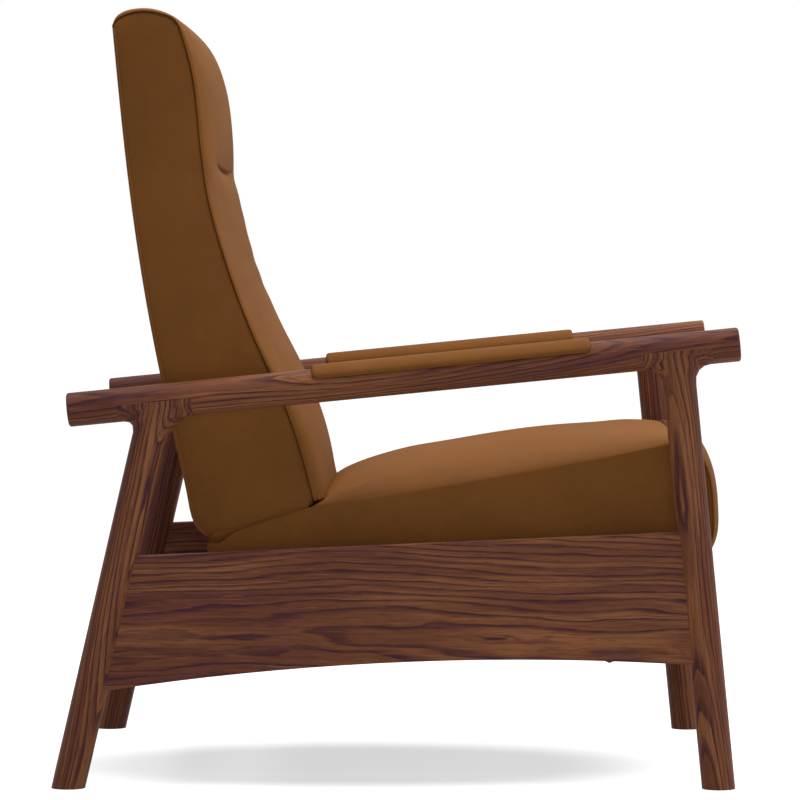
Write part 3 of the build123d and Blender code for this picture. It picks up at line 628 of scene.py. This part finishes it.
def hide_group():
    """Pebbled hide with soft cloudy tone and faint creases."""
    bench, given, wanted = node_group(
        "pebbled hide",
        (("Vector", "Vector", None), ("Tone", "Color", None), ("Pebble", "Float", 0.0011)),
    )
    vector = given["Vector"]
    scale = bench.maths("DIVIDE", 1.0, given["Pebble"])
    cells = bench.put("TexVoronoi", {"Vector": vector, "Scale": scale, "Randomness": 0.9},
                      feature="DISTANCE_TO_EDGE").outputs[0]
    pebble = bench.ramp(cells, 0.0, 0.35)
    cloud = bench.noise(vector, 7.0, 3.0, 0.55)
    patch = bench.noise(vector, 42.0, 3.0, 0.6)
    folds = bench.noise(bench.stretched(vector, (90.0, 60.0, 30.0)), 1.0, 3.0, 0.55)
    off_fold = bench.maths("ABSOLUTE", bench.maths("SUBTRACT", folds, 0.5))
    crease = bench.ramp(off_fold, 0.0, 0.05, 1.0, 0.0)
    shade = bench.times(bench.ramp(cloud, 0.25, 0.75, 0.9, 1.1, False),
                        bench.ramp(patch, 0.25, 0.75, 0.95, 1.06, False))
    shade = bench.times(shade, bench.ramp(pebble, 0.0, 1.0, 0.9, 1.02, False))
    bench.join(bench.mixed(1.0, given["Tone"], bench.grey(shade), "MULTIPLY"), wanted["Color"])
    rough = bench.plus(bench.ramp(patch, 0.2, 0.8, 0.6, 0.7, False),
                       bench.ramp(pebble, 0.0, 1.0, 0.06, 0.0, False))
    bench.join(rough, wanted["Roughness"])
    height = bench.maths("SUBTRACT", bench.times(pebble, 0.5), bench.times(crease, 0.12))
    bench.join(bench.plus(height, bench.times(patch, 0.6)), wanted["Height"])


def shader(name):
    """A new material and the bench for its nodes."""
    material = bpy.data.materials.new(name)
    material.use_nodes = True
    return material, Bench(material.node_tree)


def dress(bench, values, height=None, depth=0.0):
    """Gives a material's surface its values by socket, and relief as deep as depth in metres."""
    surface = bench.tree.nodes["Principled BSDF"].inputs
    for label, value in values.items():
        bench.join(value, surface[label])
    if height is not None:
        bump = bench.put("Bump", {"Strength": 1.0, "Distance": depth, "Height": height})
        bench.join(bump.outputs[0], surface["Normal"])


def walnut(name, centre, turn, pith, trunk, ring, wander=1.0):
    """Walnut whose grain runs along one piece. turn brings the piece's length onto X, pith is
    where the growth rings' centre lies across it, and trunk is the stretch of it that shows."""
    choice = bpy.context.scene.recliner_walnut
    material, bench = shader("walnut " + name)
    rotation = Matrix.Rotation(turn[1], 3, "Y") @ Matrix.Rotation(turn[2], 3, "Z")
    offset = Vector((trunk, pith[0], pith[1])) - rotation @ (Vector(centre) * MM)
    placed = bench.put("Mapping", {"Vector": bench.place(), "Location": offset, "Rotation": turn})
    figure = bench.put("Group", {
        "Vector": placed.outputs[0], "Body": choice.body, "Pale": choice.pale, "Dark": choice.dark,
        "Plum": choice.plum, "Ring": ring * choice.ring, "Wander": wander,
    }, node_tree=bpy.data.node_groups["walnut figure"]).outputs
    dress(bench, {"Base Color": figure["Color"], "Roughness": figure["Roughness"],
                  "Specular IOR Level": 0.12}, figure["Height"], 0.00025)
    return material


def leather(name, tone_and_shade_tint=1.0):
    """Brown hide, a little lighter or darker by a factor on its tone; on the gusset in the fold
    this darkening is painted shade.
    """
    choice = bpy.context.scene.recliner_leather
    material, bench = shader(name)
    tone = [channel * tone_and_shade_tint for channel in choice.tone[:3]] + [1.0]
    hide = bench.put("Group", {"Vector": bench.place(), "Tone": tone, "Pebble": choice.grain},
                     node_tree=bpy.data.node_groups["pebbled hide"]).outputs
    dress(bench, {"Base Color": hide["Color"], "Roughness": hide["Roughness"],
                  "Specular IOR Level": 0.06}, hide["Height"], 0.0004)
    return material


def enamel():
    """Dark enamel on steel, with a faint orange-peel and rubbed patches."""
    material, bench = shader("dark enamel")
    peel = bench.noise(bench.place(), 900.0, 2.0)
    rubbed = bench.noise(bench.place(), 60.0, 4.0, 0.65)
    tone = bench.mixed(bench.ramp(rubbed, 0.55, 0.75), colour(38, 37, 36), colour(62, 60, 58))
    rough = bench.ramp(rubbed, 0.3, 0.7, 0.36, 0.52, False)
    dress(bench, {"Base Color": tone, "Roughness": rough, "Metallic": 0.55}, peel, 0.00008)
    return material


def zinc():
    """Dull plated steel of the rivets and collars, a little spangled."""
    material, bench = shader("dull plated steel")
    spangle = bench.put("TexVoronoi", {"Vector": bench.place(), "Scale": 700.0}).outputs["Color"]
    grey = bench.put("SeparateColor", {0: spangle}).outputs[0]
    tone = bench.mixed(grey, colour(126, 124, 120), colour(152, 150, 145))
    rough = bench.ramp(bench.noise(bench.place(), 90.0, 3.0), 0.3, 0.7, 0.32, 0.5, False)
    dress(bench, {"Base Color": tone, "Roughness": rough, "Metallic": 0.9}, grey, 0.00004)
    return material


def plain_wood():
    """Unfinished hidden rails: pale straight-grained wood."""
    material, bench = shader("pale inner wood")
    fibre = bench.noise(bench.stretched(bench.place(), (160.0, 8.0, 400.0)), 1.0, 3.0, 0.6)
    band = bench.noise(bench.stretched(bench.place(), (24.0, 3.0, 60.0)), 1.0, 2.0)
    tone = bench.mixed(bench.ramp(band, 0.35, 0.7), colour(196, 164, 122), colour(172, 136, 94))
    tone = bench.mixed(bench.ramp(fibre, 0.5, 0.8, 0.0, 0.5), tone, colour(140, 106, 70))
    dress(bench, {"Base Color": tone, "Roughness": 0.62}, fibre, 0.0002)
    return material


def webbing():
    """Woven seat webbing in two directions."""
    material, bench = shader("woven webbing")
    weave = bench.put("TexChecker", {"Vector": bench.place(), "Scale": 330.0}).outputs["Fac"]
    bands = bench.put("TexBrick", {"Vector": bench.place(), "Scale": 16.0, "Mortar Size": 0.03,
                                   "Color1": colour(58, 52, 46), "Color2": colour(48, 44, 40),
                                   "Mortar": colour(24, 22, 20)}, offset=0.0)
    tone = bench.mixed(bench.times(weave, 0.35), bands.outputs["Color"], colour(84, 76, 66))
    dress(bench, {"Base Color": tone, "Roughness": 0.85}, weave, 0.0003)
    return material


def backdrop_rays(bench):
    """1 for rays that meet the backdrop as plain white: seen, mirrored or let through."""
    path = bench.put("LightPath").outputs
    seen = bench.maths("MAXIMUM", path["Is Camera Ray"], path["Is Glossy Ray"])
    return bench.maths("MAXIMUM", seen, path["Is Transmission Ray"])


def lay_finish(material, name):
    """Puts a finish on a CAD node."""
    node = frame["nodes"][name]
    node.data.materials.clear()
    node.data.materials.append(material)


def tilt(start, end):
    """Turn about Y that brings a side-view direction onto X."""
    return atan2(end[1] - start[1], end[0] - start[0])


class RECLINER_OT_finish_walnut(bpy.types.Operator):
    """Finish the turned frame, the side panels and the stretchers in walnut"""
    bl_idname = "recliner.finish_walnut"
    bl_label = "Walnut frame"

    def execute(self, context):
        walnut_group()
        for sign, side, shift in ((-1, "right", 0.0), (1, "left", LEFT_SIDE_SHIFT)):
            for name, (x, z), axis, (out, up), trunk, ring, wander in SIDE_GRAIN:
                label = name.replace("_", " ") + " " + side
                finish = walnut(label, (x, sign * SIDE_Y, z), (0, tilt(*axis), 0),
                                (sign * out, up), trunk + shift, ring, wander)
                lay_finish(finish, name + "_" + side)
        for end, centre, pith, trunk, ring in CROSS_GRAIN:
            finish = walnut("stretcher " + end, centre, (0, 0, -pi / 2), pith, trunk, ring)
            lay_finish(finish, end + "_stretcher")
        return {"FINISHED"}


class RECLINER_OT_finish_hidden(bpy.types.Operator):
    """Finish the steel linkages, the inner rails and the webbing"""
    bl_idname = "recliner.finish_hidden"
    bl_label = "Steel, inner rails and webbing"

    def execute(self, context):
        finishes = {"dark_steel": enamel(), "inner_wood": plain_wood(), "webbing": webbing()}
        for part in frame["record"]["subparts"]:
            if part["material_slot"] in finishes:
                lay_finish(finishes[part["material_slot"]], part["node"])
        return {"FINISHED"}


# Upholstery

def crown_share(across, edge, square, round_over):
    """How much of the crown a pad has at a share of its half width: steep at the seams, and
    then a slow rise to the middle. square and round_over set how boxy its shoulders are."""
    across = min(1.0, abs(across))
    return edge * (1 - across ** square) ** (1 / round_over) + (1 - edge) * (1 - across ** 2)


def soft_edge(inset, reach, height=1.0):
    """Height of a rounded edge at a distance in from it."""
    near = max(0.0, 1 - inset / reach)
    return height * sqrt(1 - near ** 2)


def across_stations(count):
    """Shares of the half width, closer together towards the seams."""
    return [sin(pi / 2 * sin(pi / 2 * s)) for s in np.linspace(-1, 1, count)]


def pad_rings(outlines, half_width, wings, count, shoulders, extra=()):
    """Rings of a crowned pad, from its seam, crown and core lines: over the front from seam to
    seam, then back across the core. wings are its half widths behind the seam and there."""
    seam_line, crown_line, core_line = (smooth_line(outline) for outline in outlines)
    wing, wing_inner = wings
    rings = []
    positions = np.concatenate((even_positions(outlines[1], count), extra))
    for position in np.unique(np.round(positions, 4)):
        edge, top, inner = seam_line(position), crown_line(position), core_line(position)
        back = (inner - edge) / np.linalg.norm(inner - edge)
        ring = []
        for s in across_stations(STATIONS):
            x, z = edge + crown_share(s, *shoulders) * (top - edge)
            ring.append(point(x, s * half_width, z))
        sunk, deep = (edge + step * back for step in TUCK_BACK)
        behind = [
            (sunk, half_width - TUCK_IN), (deep, wing), (inner, wing_inner),
            *[(inner, wing_inner * s) for s in (0.6, 0.2, -0.2, -0.6)],
            (inner, -wing_inner), (deep, -wing), (sunk, -half_width + TUCK_IN),
        ]
        ring += [point(place[0], y, place[1]) for place, y in behind]
        rings.append(ring)
    return rings


def pinched(made, depth):
    """Pulls the seam under the headrest into the back pad; it fades before the sides."""
    for vert in made.data.vertices:
        x, y, z = vert.co / MM
        if x < HEADREST_BEHIND or abs(z - HEADREST_Z) > HEADREST_REACH:
            continue
        fade = max(0.0, 1 - (y / HEADREST_HALF) ** 4)
        gap = z - HEADREST_Z - HEADREST_BOW * (y / HEADREST_BOW_AT) ** 2
        pull = sum(share * np.exp(-(gap / width) ** 2) for share, width in HEADREST_CREASES)
        vert.co.x -= depth * fade * pull


def back_sewn():
    """How firmly a point of the pad is held: at the side seams, the core and both ends."""
    core = even_points(BACK_CORE, CORE_POINTS)

    def held(co):
        x, y, z = co
        if abs(y) > BACK_HALF_WIDTH - BACK_SEWN_EDGE or z < BACK_SEWN_FOOT or x < BACK_SEWN_LIP:
            return 1.0
        if any(np.hypot(x - p[0], z - p[1]) < BACK_SEWN_CORE for p in core):
            return 1.0
        firm, width = BACK_SEWN_SEAM
        return firm * float(np.exp(-((z - HEADREST_Z) / width) ** 2))

    return held


class RECLINER_OT_back_pad(bpy.types.Operator):
    """Make the crowned front pad of the back, with its headrest seam"""
    bl_idname = "recliner.back_pad"
    bl_label = "Back front pad"

    def execute(self, context):
        choice = context.scene.recliner_leather
        outlines = (BACK_SEAM, BACK_CROWN, BACK_CORE)
        rings = pad_rings(outlines, BACK_HALF_WIDTH, BACK_WINGS, BACK_RINGS, BACK_SHOULDERS,
                          HEADREST_RINGS)
        made = piece("back_front_pad", lofted(rings), leather("leather back pad"))
        filled(made, back_sewn(), choice.pressure, choice.swell)
        finer(made)
        pinched(made, choice.headrest_depth)
        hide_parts("back_cushion")
        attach(made, "back")
        return {"FINISHED"}


def side_panel(sign):
    """Rings up the panel, each from its front seam to its rear edge over a soft crown."""
    front, rear = even_points(BACK_SEAM, SIDE_RINGS), even_points(BACK_REAR, SIDE_RINGS)
    outer = BACK_HALF_WIDTH - SIDE_INSIDE
    rings = []
    for step, (seam, edge) in enumerate(zip(front, rear)):
        seam = seam - SIDE_SEAM_GAP * (seam - edge) / np.linalg.norm(seam - edge)
        edge = edge + (1.0, 0)
        width = np.linalg.norm(seam - edge)
        height = min(step, SIDE_RINGS - 1 - step) * SIDE_RING_RISE
        sunk = SIDE_RELIEF - soft_edge(height, SIDE_SOFT_END, SIDE_RELIEF)
        low = max(0.0, 1 - step / SIDE_SAG_RINGS) ** 2

        def across(s):
            """Place across the panel; its lowest rings sag."""
            sag = SIDE_SAG * low * sqrt(1 - s ** 2) * (1 - 0.25 * s)
            return (seam + edge) / 2 + s * (edge - seam) / 2 + (0.3 * sag, -0.95 * sag)

        ring = []
        for s in across_stations(SIDE_STATIONS):
            inset = (1 - abs(s)) * width / 2
            rise = soft_edge(inset, SIDE_SOFT_EDGE, SIDE_RELIEF)
            swell = rise + SIDE_RELIEF * (1 - s ** 2) - sunk
            place = across(s)
            ring.append(point(place[0], sign * (outer - SIDE_RELIEF + swell), place[1]))
        for s in (1, 0.4, -0.4, -1):
            place = across(s)
            ring.append(point(place[0], sign * SIDE_INNER_FACE, place[1]))
        rings.append(ring)
    return lofted(rings)


def rear_panel():
    """A thin panel, a little crowned, that wraps the rear edges of the side panels."""
    outer, inner = (BACK_HALF_WIDTH + over for over in REAR_OVER)
    rings = []
    for x, z in even_points(BACK_REAR, REAR_RINGS):
        ring = []
        for s in across_stations(REAR_STATIONS):
            bulge = REAR_WRAP * crown_share(s, *REAR_SHOULDERS) + REAR_CROWN * (1 - s ** 2)
            ring.append(point(x + REAR_WRAP - bulge, s * outer, z))
        ring += [point(x + REAR_THICK, s * inner, z) for s in (1, 0.5, 0, -0.5, -1)]
        rings.append(ring)
    return lofted(rings)


class RECLINER_OT_back_panels(bpy.types.Operator):
    """Make the flat leather side panels of the back and the panel behind it"""
    bl_idname = "recliner.back_panels"
    bl_label = "Back side and rear panels"

    def execute(self, context):
        finish = leather("leather back panels", 0.97)
        for sign, side in ((-1, "right"), (1, "left")):
            made = piece("back_side_panel_" + side, side_panel(sign), finish)
            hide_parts("back_side_" + side)
            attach(made, "back")
        made = piece("back_outer_panel", rear_panel(), finish)
        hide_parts("back_panel")
        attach(made, "back")
        return {"FINISHED"}


def seat_base(x):
    """Height of the board that the cushion lies on."""
    (x0, z0), (x1, z1) = SEAT_BASE
    return z0 + (z1 - z0) * (x - x0) / (x1 - x0)


def seat_ring(side, crown):
    """A section: up one side wall, over the crown, down the other and back round the base."""
    x, z = side
    walls = [SEAT_SKIRT + share * (z - SEAT_SKIRT) for share in SEAT_WALLS]
    ring = [point(x, -SEAT_HALF_WIDTH, height) for height in walls]
    for s in across_stations(STATIONS):
        place = side + crown_share(s, *SEAT_SHOULDERS) * (crown - side)
        ring.append(point(place[0], s * SEAT_HALF_WIDTH, place[1]))
    ring += [point(x, SEAT_HALF_WIDTH, height) for height in walls[::-1]]
    low, out = seat_base(crown[0]), SEAT_RAIL_OUTSIDE
    behind = [(out, SEAT_SKIRT), (out, low), (150, low), (0, low), (-150, low), (-out, low),
              (-out, SEAT_SKIRT)]
    return ring + [point(crown[0], y, h) for y, h in behind]


def seat_held(co):
    """1 where the cover is sewn down: at both ends, the base and the lower side walls."""
    x, y, z = co
    if x < SEAT_SEWN_REAR or x > SEAT_SEWN_FRONT or z < seat_base(x) + SEAT_SEWN_BASE:
        return 1.0
    wall = np.interp(x, *np.transpose(SEAT_SIDE)) - SEAT_ROLL
    return 1.0 if abs(y) > SEAT_HALF_WIDTH - SEAT_SEWN_WALL and z < wall else 0.0


class RECLINER_OT_seat(bpy.types.Operator):
    """Make the seat's upholstery, a crowned cushion that runs down the sides of its box"""
    bl_idname = "recliner.seat"
    bl_label = "Seat"

    def execute(self, context):
        choice = context.scene.recliner_leather
        side_line, crown_line = smooth_line(SEAT_SIDE), smooth_line(SEAT_CROWN)
        trough, trough_side = np.array(SEAT_TROUGH, float), np.array(SEAT_TROUGH_SIDE, float)
        last = len(SEAT_CROWN) - 1
        pairs = [(trough_side[0] + (inward, -lowered), trough[0] + (inward, -lowered))
                 for inward, lowered in SEAT_REAR_END]
        pairs += zip(even_run(trough_side, SEAT_TROUGH_STEP), even_run(trough, SEAT_TROUGH_STEP))
        along = even_positions(SEAT_CROWN, SEAT_RINGS)[:-1]
        pairs += [(side_line(position), crown_line(position)) for position in along]
        pairs += [(side_line(last) - (back, lowered), crown_line(last) - (back, lowered))
                  for back, lowered in SEAT_FRONT_END]
        rings = [seat_ring(side, crown) for side, crown in pairs]
        made = piece("seat_upholstery", lofted(rings), leather("leather seat"))
        filled(made, seat_held, choice.pressure, choice.swell)
        finer(made)
        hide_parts("seat_cushion", "seat_side_right", "seat_side_left")
        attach(made, "seat")
        low, high = (np.array(corner) * MM for corner in SEAT_APRON)
        slab = soft_slab(low, high, SEAT_APRON_ROUNDING)
        apron = piece("seat_front_apron", slab, leather("leather seat apron"))
        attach(apron, "seat")
        return {"FINISHED"}


class RECLINER_OT_gusset(bpy.types.Operator):
    """Make the soft gusset that closes the fold between the seat and the back"""
    bl_idname = "recliner.gusset"
    bl_label = "Seat and back gusset"

    def execute(self, context):
        low, high = np.array(GUSSET_FOOT, float), np.array(GUSSET_HEAD, float)
        lift = high - low
        rings = []
        for s in np.linspace(-1, 1, GUSSET_STATIONS):
            ends = sqrt(max(0.0, 1 - abs(s) ** GUSSET_ENDS))

            def rise(end, share, bulge):
                """Point up the front or rear face, which bulges in its middle."""
                return low[end] + share * lift[end] + (bulge * ends * sin(pi * share), 0)

            ring = [rise(-1, share, GUSSET_BULGE) for share in GUSSET_RISES]
            ring += list(high[-2:0:-1])
            ring += [rise(0, share, GUSSET_REAR_BULGE) for share in GUSSET_RISES[::-1]]
            ring += list(low[1:-1])
            rings.append([point(x, s * GUSSET_HALF_WIDTH, z) for x, z in ring])
        # The gusset's hide is 0.9 as light as the seat's: painted shade in the fold between the
        # seat and the back
        made = piece("seat_back_gusset", lofted(rings), leather("leather gusset", 0.9))
        middle_foot, middle_head = low[-2], high[-2]
        point(middle_foot[0], 0, middle_foot[1])
        point(middle_head[0], 0, middle_head[1])
        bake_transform(made)
        return {"FINISHED"}


class RECLINER_OT_footrest(bpy.types.Operator):
    """Make the footrest's crowned front pad and the cover of its board"""
    bl_idname = "recliner.footrest"
    bl_label = "Footrest pad"

    def execute(self, context):
        outlines = (FOOT_SIDE, FOOT_CROWN, FOOT_INNER)
        rings = pad_rings(outlines, SEAT_HALF_WIDTH, FOOT_WINGS, FOOT_RINGS, FOOT_SHOULDERS)
        made = piece("footrest_upholstery", lofted(rings), leather("leather footrest"))
        finer(made)
        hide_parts("footrest_pad")
        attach(made, "footrest")
        low, high = (np.array(corner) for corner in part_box("footrest_board"))
        slab = soft_slab(low - FOOT_COVER_OUT, high + FOOT_COVER_OUT, FOOT_COVER_ROUNDING)
        made = piece("footrest_cover", slab, leather("leather footrest back"))
        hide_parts("footrest_board")
        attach(made, "footrest")
        return {"FINISHED"}


def arm_pad(sign):
    """Rings along the rail, each over the saddle and back close to the rail."""
    along = Vector((RAIL_FRONT[0] - RAIL_REAR[0], 0, RAIL_FRONT[1] - RAIL_REAR[1])).normalized()
    up = Vector((-along.z, 0, along.x))
    start = Vector((RAIL_REAR[0], sign * SIDE_Y, RAIL_REAR[1]))

    def on(reach, angle, radius):
        """Point at a distance along the rail, an angle round it and a radius off its axis."""
        turn = radians(angle)
        place = start + along * reach + up * (radius * cos(turn))
        return (place + Vector((0, radius * sin(turn), 0))) * MM

    low, high = PAD_REACH
    length = high - low
    under, clear = PAD_CLEAR
    rings = []
    for t in (*PAD_END_STEPS, *range(2 * PAD_STEP, length - PAD_STEP, PAD_STEP),
              *(length - step for step in PAD_END_STEPS[::-1])):
        end = min(t, length - t)
        half = PAD_HALF_ANGLE * (1 - PAD_CORNER_CUT * (1 - soft_edge(end, PAD_ROUND_CORNER)))
        plump = soft_edge(end, PAD_ROUND_EDGE)
        ring = []
        for step in np.linspace(-1, 1, 25):
            edge = sqrt(max(0.0, 1 - abs(step) ** 10))
            rise = RAIL_RADIUS + clear + (PAD_THICK - 0.6) * (0.3 + 0.7 * edge * plump)
            ring.append(on(low + t, step * half, rise))
        for step in np.linspace(1, -1, 13):
            ring.append(on(low + t, step * half * PAD_UNDER, RAIL_RADIUS + under))
        rings.append(ring)
    return lofted(rings)


class RECLINER_OT_arm_pads(bpy.types.Operator):
    """Make the leather saddles on the arm rails"""
    bl_idname = "recliner.arm_pads"
    bl_label = "Arm pads"

    def execute(self, context):
        finish = leather("leather arm pads", 0.95)
        for sign, side in ((-1, "right"), (1, "left")):
            made = piece("arm_leather_" + side, arm_pad(sign), finish)
            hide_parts("arm_pad_" + side)
            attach(made, "frame")
        return {"FINISHED"}


def turned_pair(name, profile, x, z, y, body, finish):
    """The same turned shape at both sides of the chair, facing the middle."""
    bm = bmesh.new()
    for sign in (-1, 1):
        turned(bm, profile, x, sign * y, z, -sign)
    bmesh.ops.remove_doubles(bm, verts=bm.verts, dist=1e-6)
    bmesh.ops.recalc_face_normals(bm, faces=bm.faces)
    made = piece(name, bm, finish)
    made.data.set_sharp_from_angle(angle=radians(40))
    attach(made, body)


def turned(bm, profile, x, y, z, facing):
    """Turns a profile of radius and height about the pin, which lies along Y."""
    verts = [bm.verts.new(point(x + radius, y + facing * height, z))
             for radius, height in profile]
    edges = [bm.edges.new(pair) for pair in zip(verts, verts[1:])]
    bmesh.ops.spin(bm, geom=verts + edges, cent=point(x, y, z), axis=(0, 1, 0), angle=2 * pi,
                   steps=TURNED_STEPS, use_merge=True)


class RECLINER_OT_fasteners(bpy.types.Operator):
    """Make the rivet heads of the footrest's scissors and the collars on the cross rod"""
    bl_idname = "recliner.fasteners"
    bl_label = "Rivets and collars"

    def execute(self, context):
        finish = zinc()
        for joint in frame["joints"]:
            if joint["name"].startswith("footrest"):
                x, z = joint["pos_m"][0] / MM, joint["pos_m"][2] / MM
                turned_pair("rivets_" + joint["name"], RIVET, x, z, RIVET_Y, joint["child"], finish)
        x, z = CROSS_ROD
        turned_pair("cross_rod_collars", COLLAR, x, z, COLLAR_Y, "frame", finish)
        return {"FINISHED"}


# Studio

def lay_floor(choice):
    """A floor that keeps the shadow close to the chair and is white further off: it glows white for
    the camera, a painted glow that is weaker near the chair, so the lamps' shadow shows there, and
    full further off, where it whitens out any shade.
    """
    bm = bmesh.new()
    bmesh.ops.create_grid(bm, x_segments=1, y_segments=1, size=FLOOR_SIZE)
    material, bench = shader("studio floor")
    spread = bench.put("VectorMath", {0: bench.place(), 1: FLOOR_SHADOW_SCALE,
                                      2: FLOOR_SHADOW_SHIFT}, operation="MULTIPLY_ADD")
    away = bench.put("VectorMath", {0: spread.outputs[0]}, operation="LENGTH").outputs["Value"]
    # Painted white glow on the floor, seen by the camera only: weaker near the chair, full further
    # off
    painted_glow_share = bench.ramp(away, *FLOOR_SHADOW_FADE, choice.lift, 1.0)
    glow = bench.grey(bench.times(backdrop_rays(bench), painted_glow_share))
    dress(bench, {"Base Color": choice.floor, "Roughness": 0.9, "Specular IOR Level": 0.0,
                  "Emission Color": glow, "Emission Strength": 1.0})
    piece("studio_floor", bm, material, smooth=False)


def light_air(scene, choice):
    """Weak light from all round, behind a white backdrop."""
    world = bpy.data.worlds.new("studio air")
    scene.world = world
    world.use_nodes = True
    bench = Bench(world.node_tree)
    world.node_tree.nodes.clear()
    strength = bench.ramp(backdrop_rays(bench), 0.0, 1.0, choice.fill, 1.0, False)
    sky = bench.put("Background", {"Color": (1, 1, 1, 1), "Strength": strength})
    bench.put("OutputWorld", {"Surface": sky.outputs[0]})


def hang_lamp(name, place, size, power):
    """A soft round lamp that the camera doesn't see."""
    light = bpy.data.lights.new(name, "AREA")
    light.shape, light.size, light.energy = "DISK", size, power
    lamp = aimed(light, place, Vector(LAMPS_AIM) - Vector(place))
    lamp.visible_camera = False


def set_camera(scene, choice):
    """The photograph's camera."""
    lens = bpy.data.cameras.new("photograph")
    lens.lens = choice.lens
    lens.sensor_width = 36
    lens.clip_end = 100
    scene.camera = aimed(lens, CAMERA_PLACE, Vector(CAMERA_LOOK))


def aimed(data, place, look):
    """A lamp or camera at a place, that looks along a direction."""
    made = bpy.data.objects.new(data.name, data)
    bpy.context.scene.collection.objects.link(made)
    made.location = place
    made.rotation_euler = look.to_track_quat("-Z", "Y").to_euler()
    return made


class RECLINER_OT_stage(bpy.types.Operator):
    """Set the pale floor, the soft lights and the camera"""
    bl_idname = "recliner.stage"
    bl_label = "Studio"

    def execute(self, context):
        scene = context.scene
        choice = scene.recliner_studio
        scene.view_settings.view_transform = "Standard"
        lay_floor(choice)
        light_air(scene, choice)
        for name, place, size, power in LAMPS:
            hang_lamp(name, place, size, getattr(choice, power))
        set_camera(scene, choice)
        return {"FINISHED"}


class RECLINER_PT_panel(bpy.types.Panel):
    bl_idname = "RECLINER_PT_panel"
    bl_label = "High-back recliner"
    bl_space_type = "VIEW_3D"
    bl_region_type = "UI"
    bl_category = "Recliner"

    def draw(self, context):
        for choice in ("recliner_leather", "recliner_walnut", "recliner_studio"):
            group = getattr(context.scene, choice)
            for name in group.__annotations__:
                self.layout.prop(group, name)
        for step in STEPS:
            self.layout.operator(step.bl_idname)


STEPS = (
    RECLINER_OT_finish_walnut,
    RECLINER_OT_finish_hidden,
    RECLINER_OT_back_pad,
    RECLINER_OT_back_panels,
    RECLINER_OT_seat,
    RECLINER_OT_gusset,
    RECLINER_OT_footrest,
    RECLINER_OT_arm_pads,
    RECLINER_OT_fasteners,
    RECLINER_OT_stage,
)
CHOICES = (
    ("recliner_leather", LeatherChoice),
    ("recliner_walnut", WalnutChoice),
    ("recliner_studio", StudioChoice),
)


def register():
    for name, kind in CHOICES:
        bpy.utils.register_class(kind)
        setattr(bpy.types.Scene, name, PointerProperty(type=kind))
    for kind in STEPS + (RECLINER_PT_panel,):
        bpy.utils.register_class(kind)


def unregister():
    for kind in (RECLINER_PT_panel,) + STEPS[::-1]:
        bpy.utils.unregister_class(kind)
    for name, kind in CHOICES:
        delattr(bpy.types.Scene, name)
        bpy.utils.unregister_class(kind)


def main():
    for loose in [o for o in bpy.data.objects if o.name in ("Cube", "Light", "Camera")]:
        bpy.data.objects.remove(loose)
    register()
    hide_group()
    for step in STEPS:
        family, action = step.bl_idname.split(".")
        getattr(getattr(bpy.ops, family), action)()


if __name__ == "__main__":
    main()
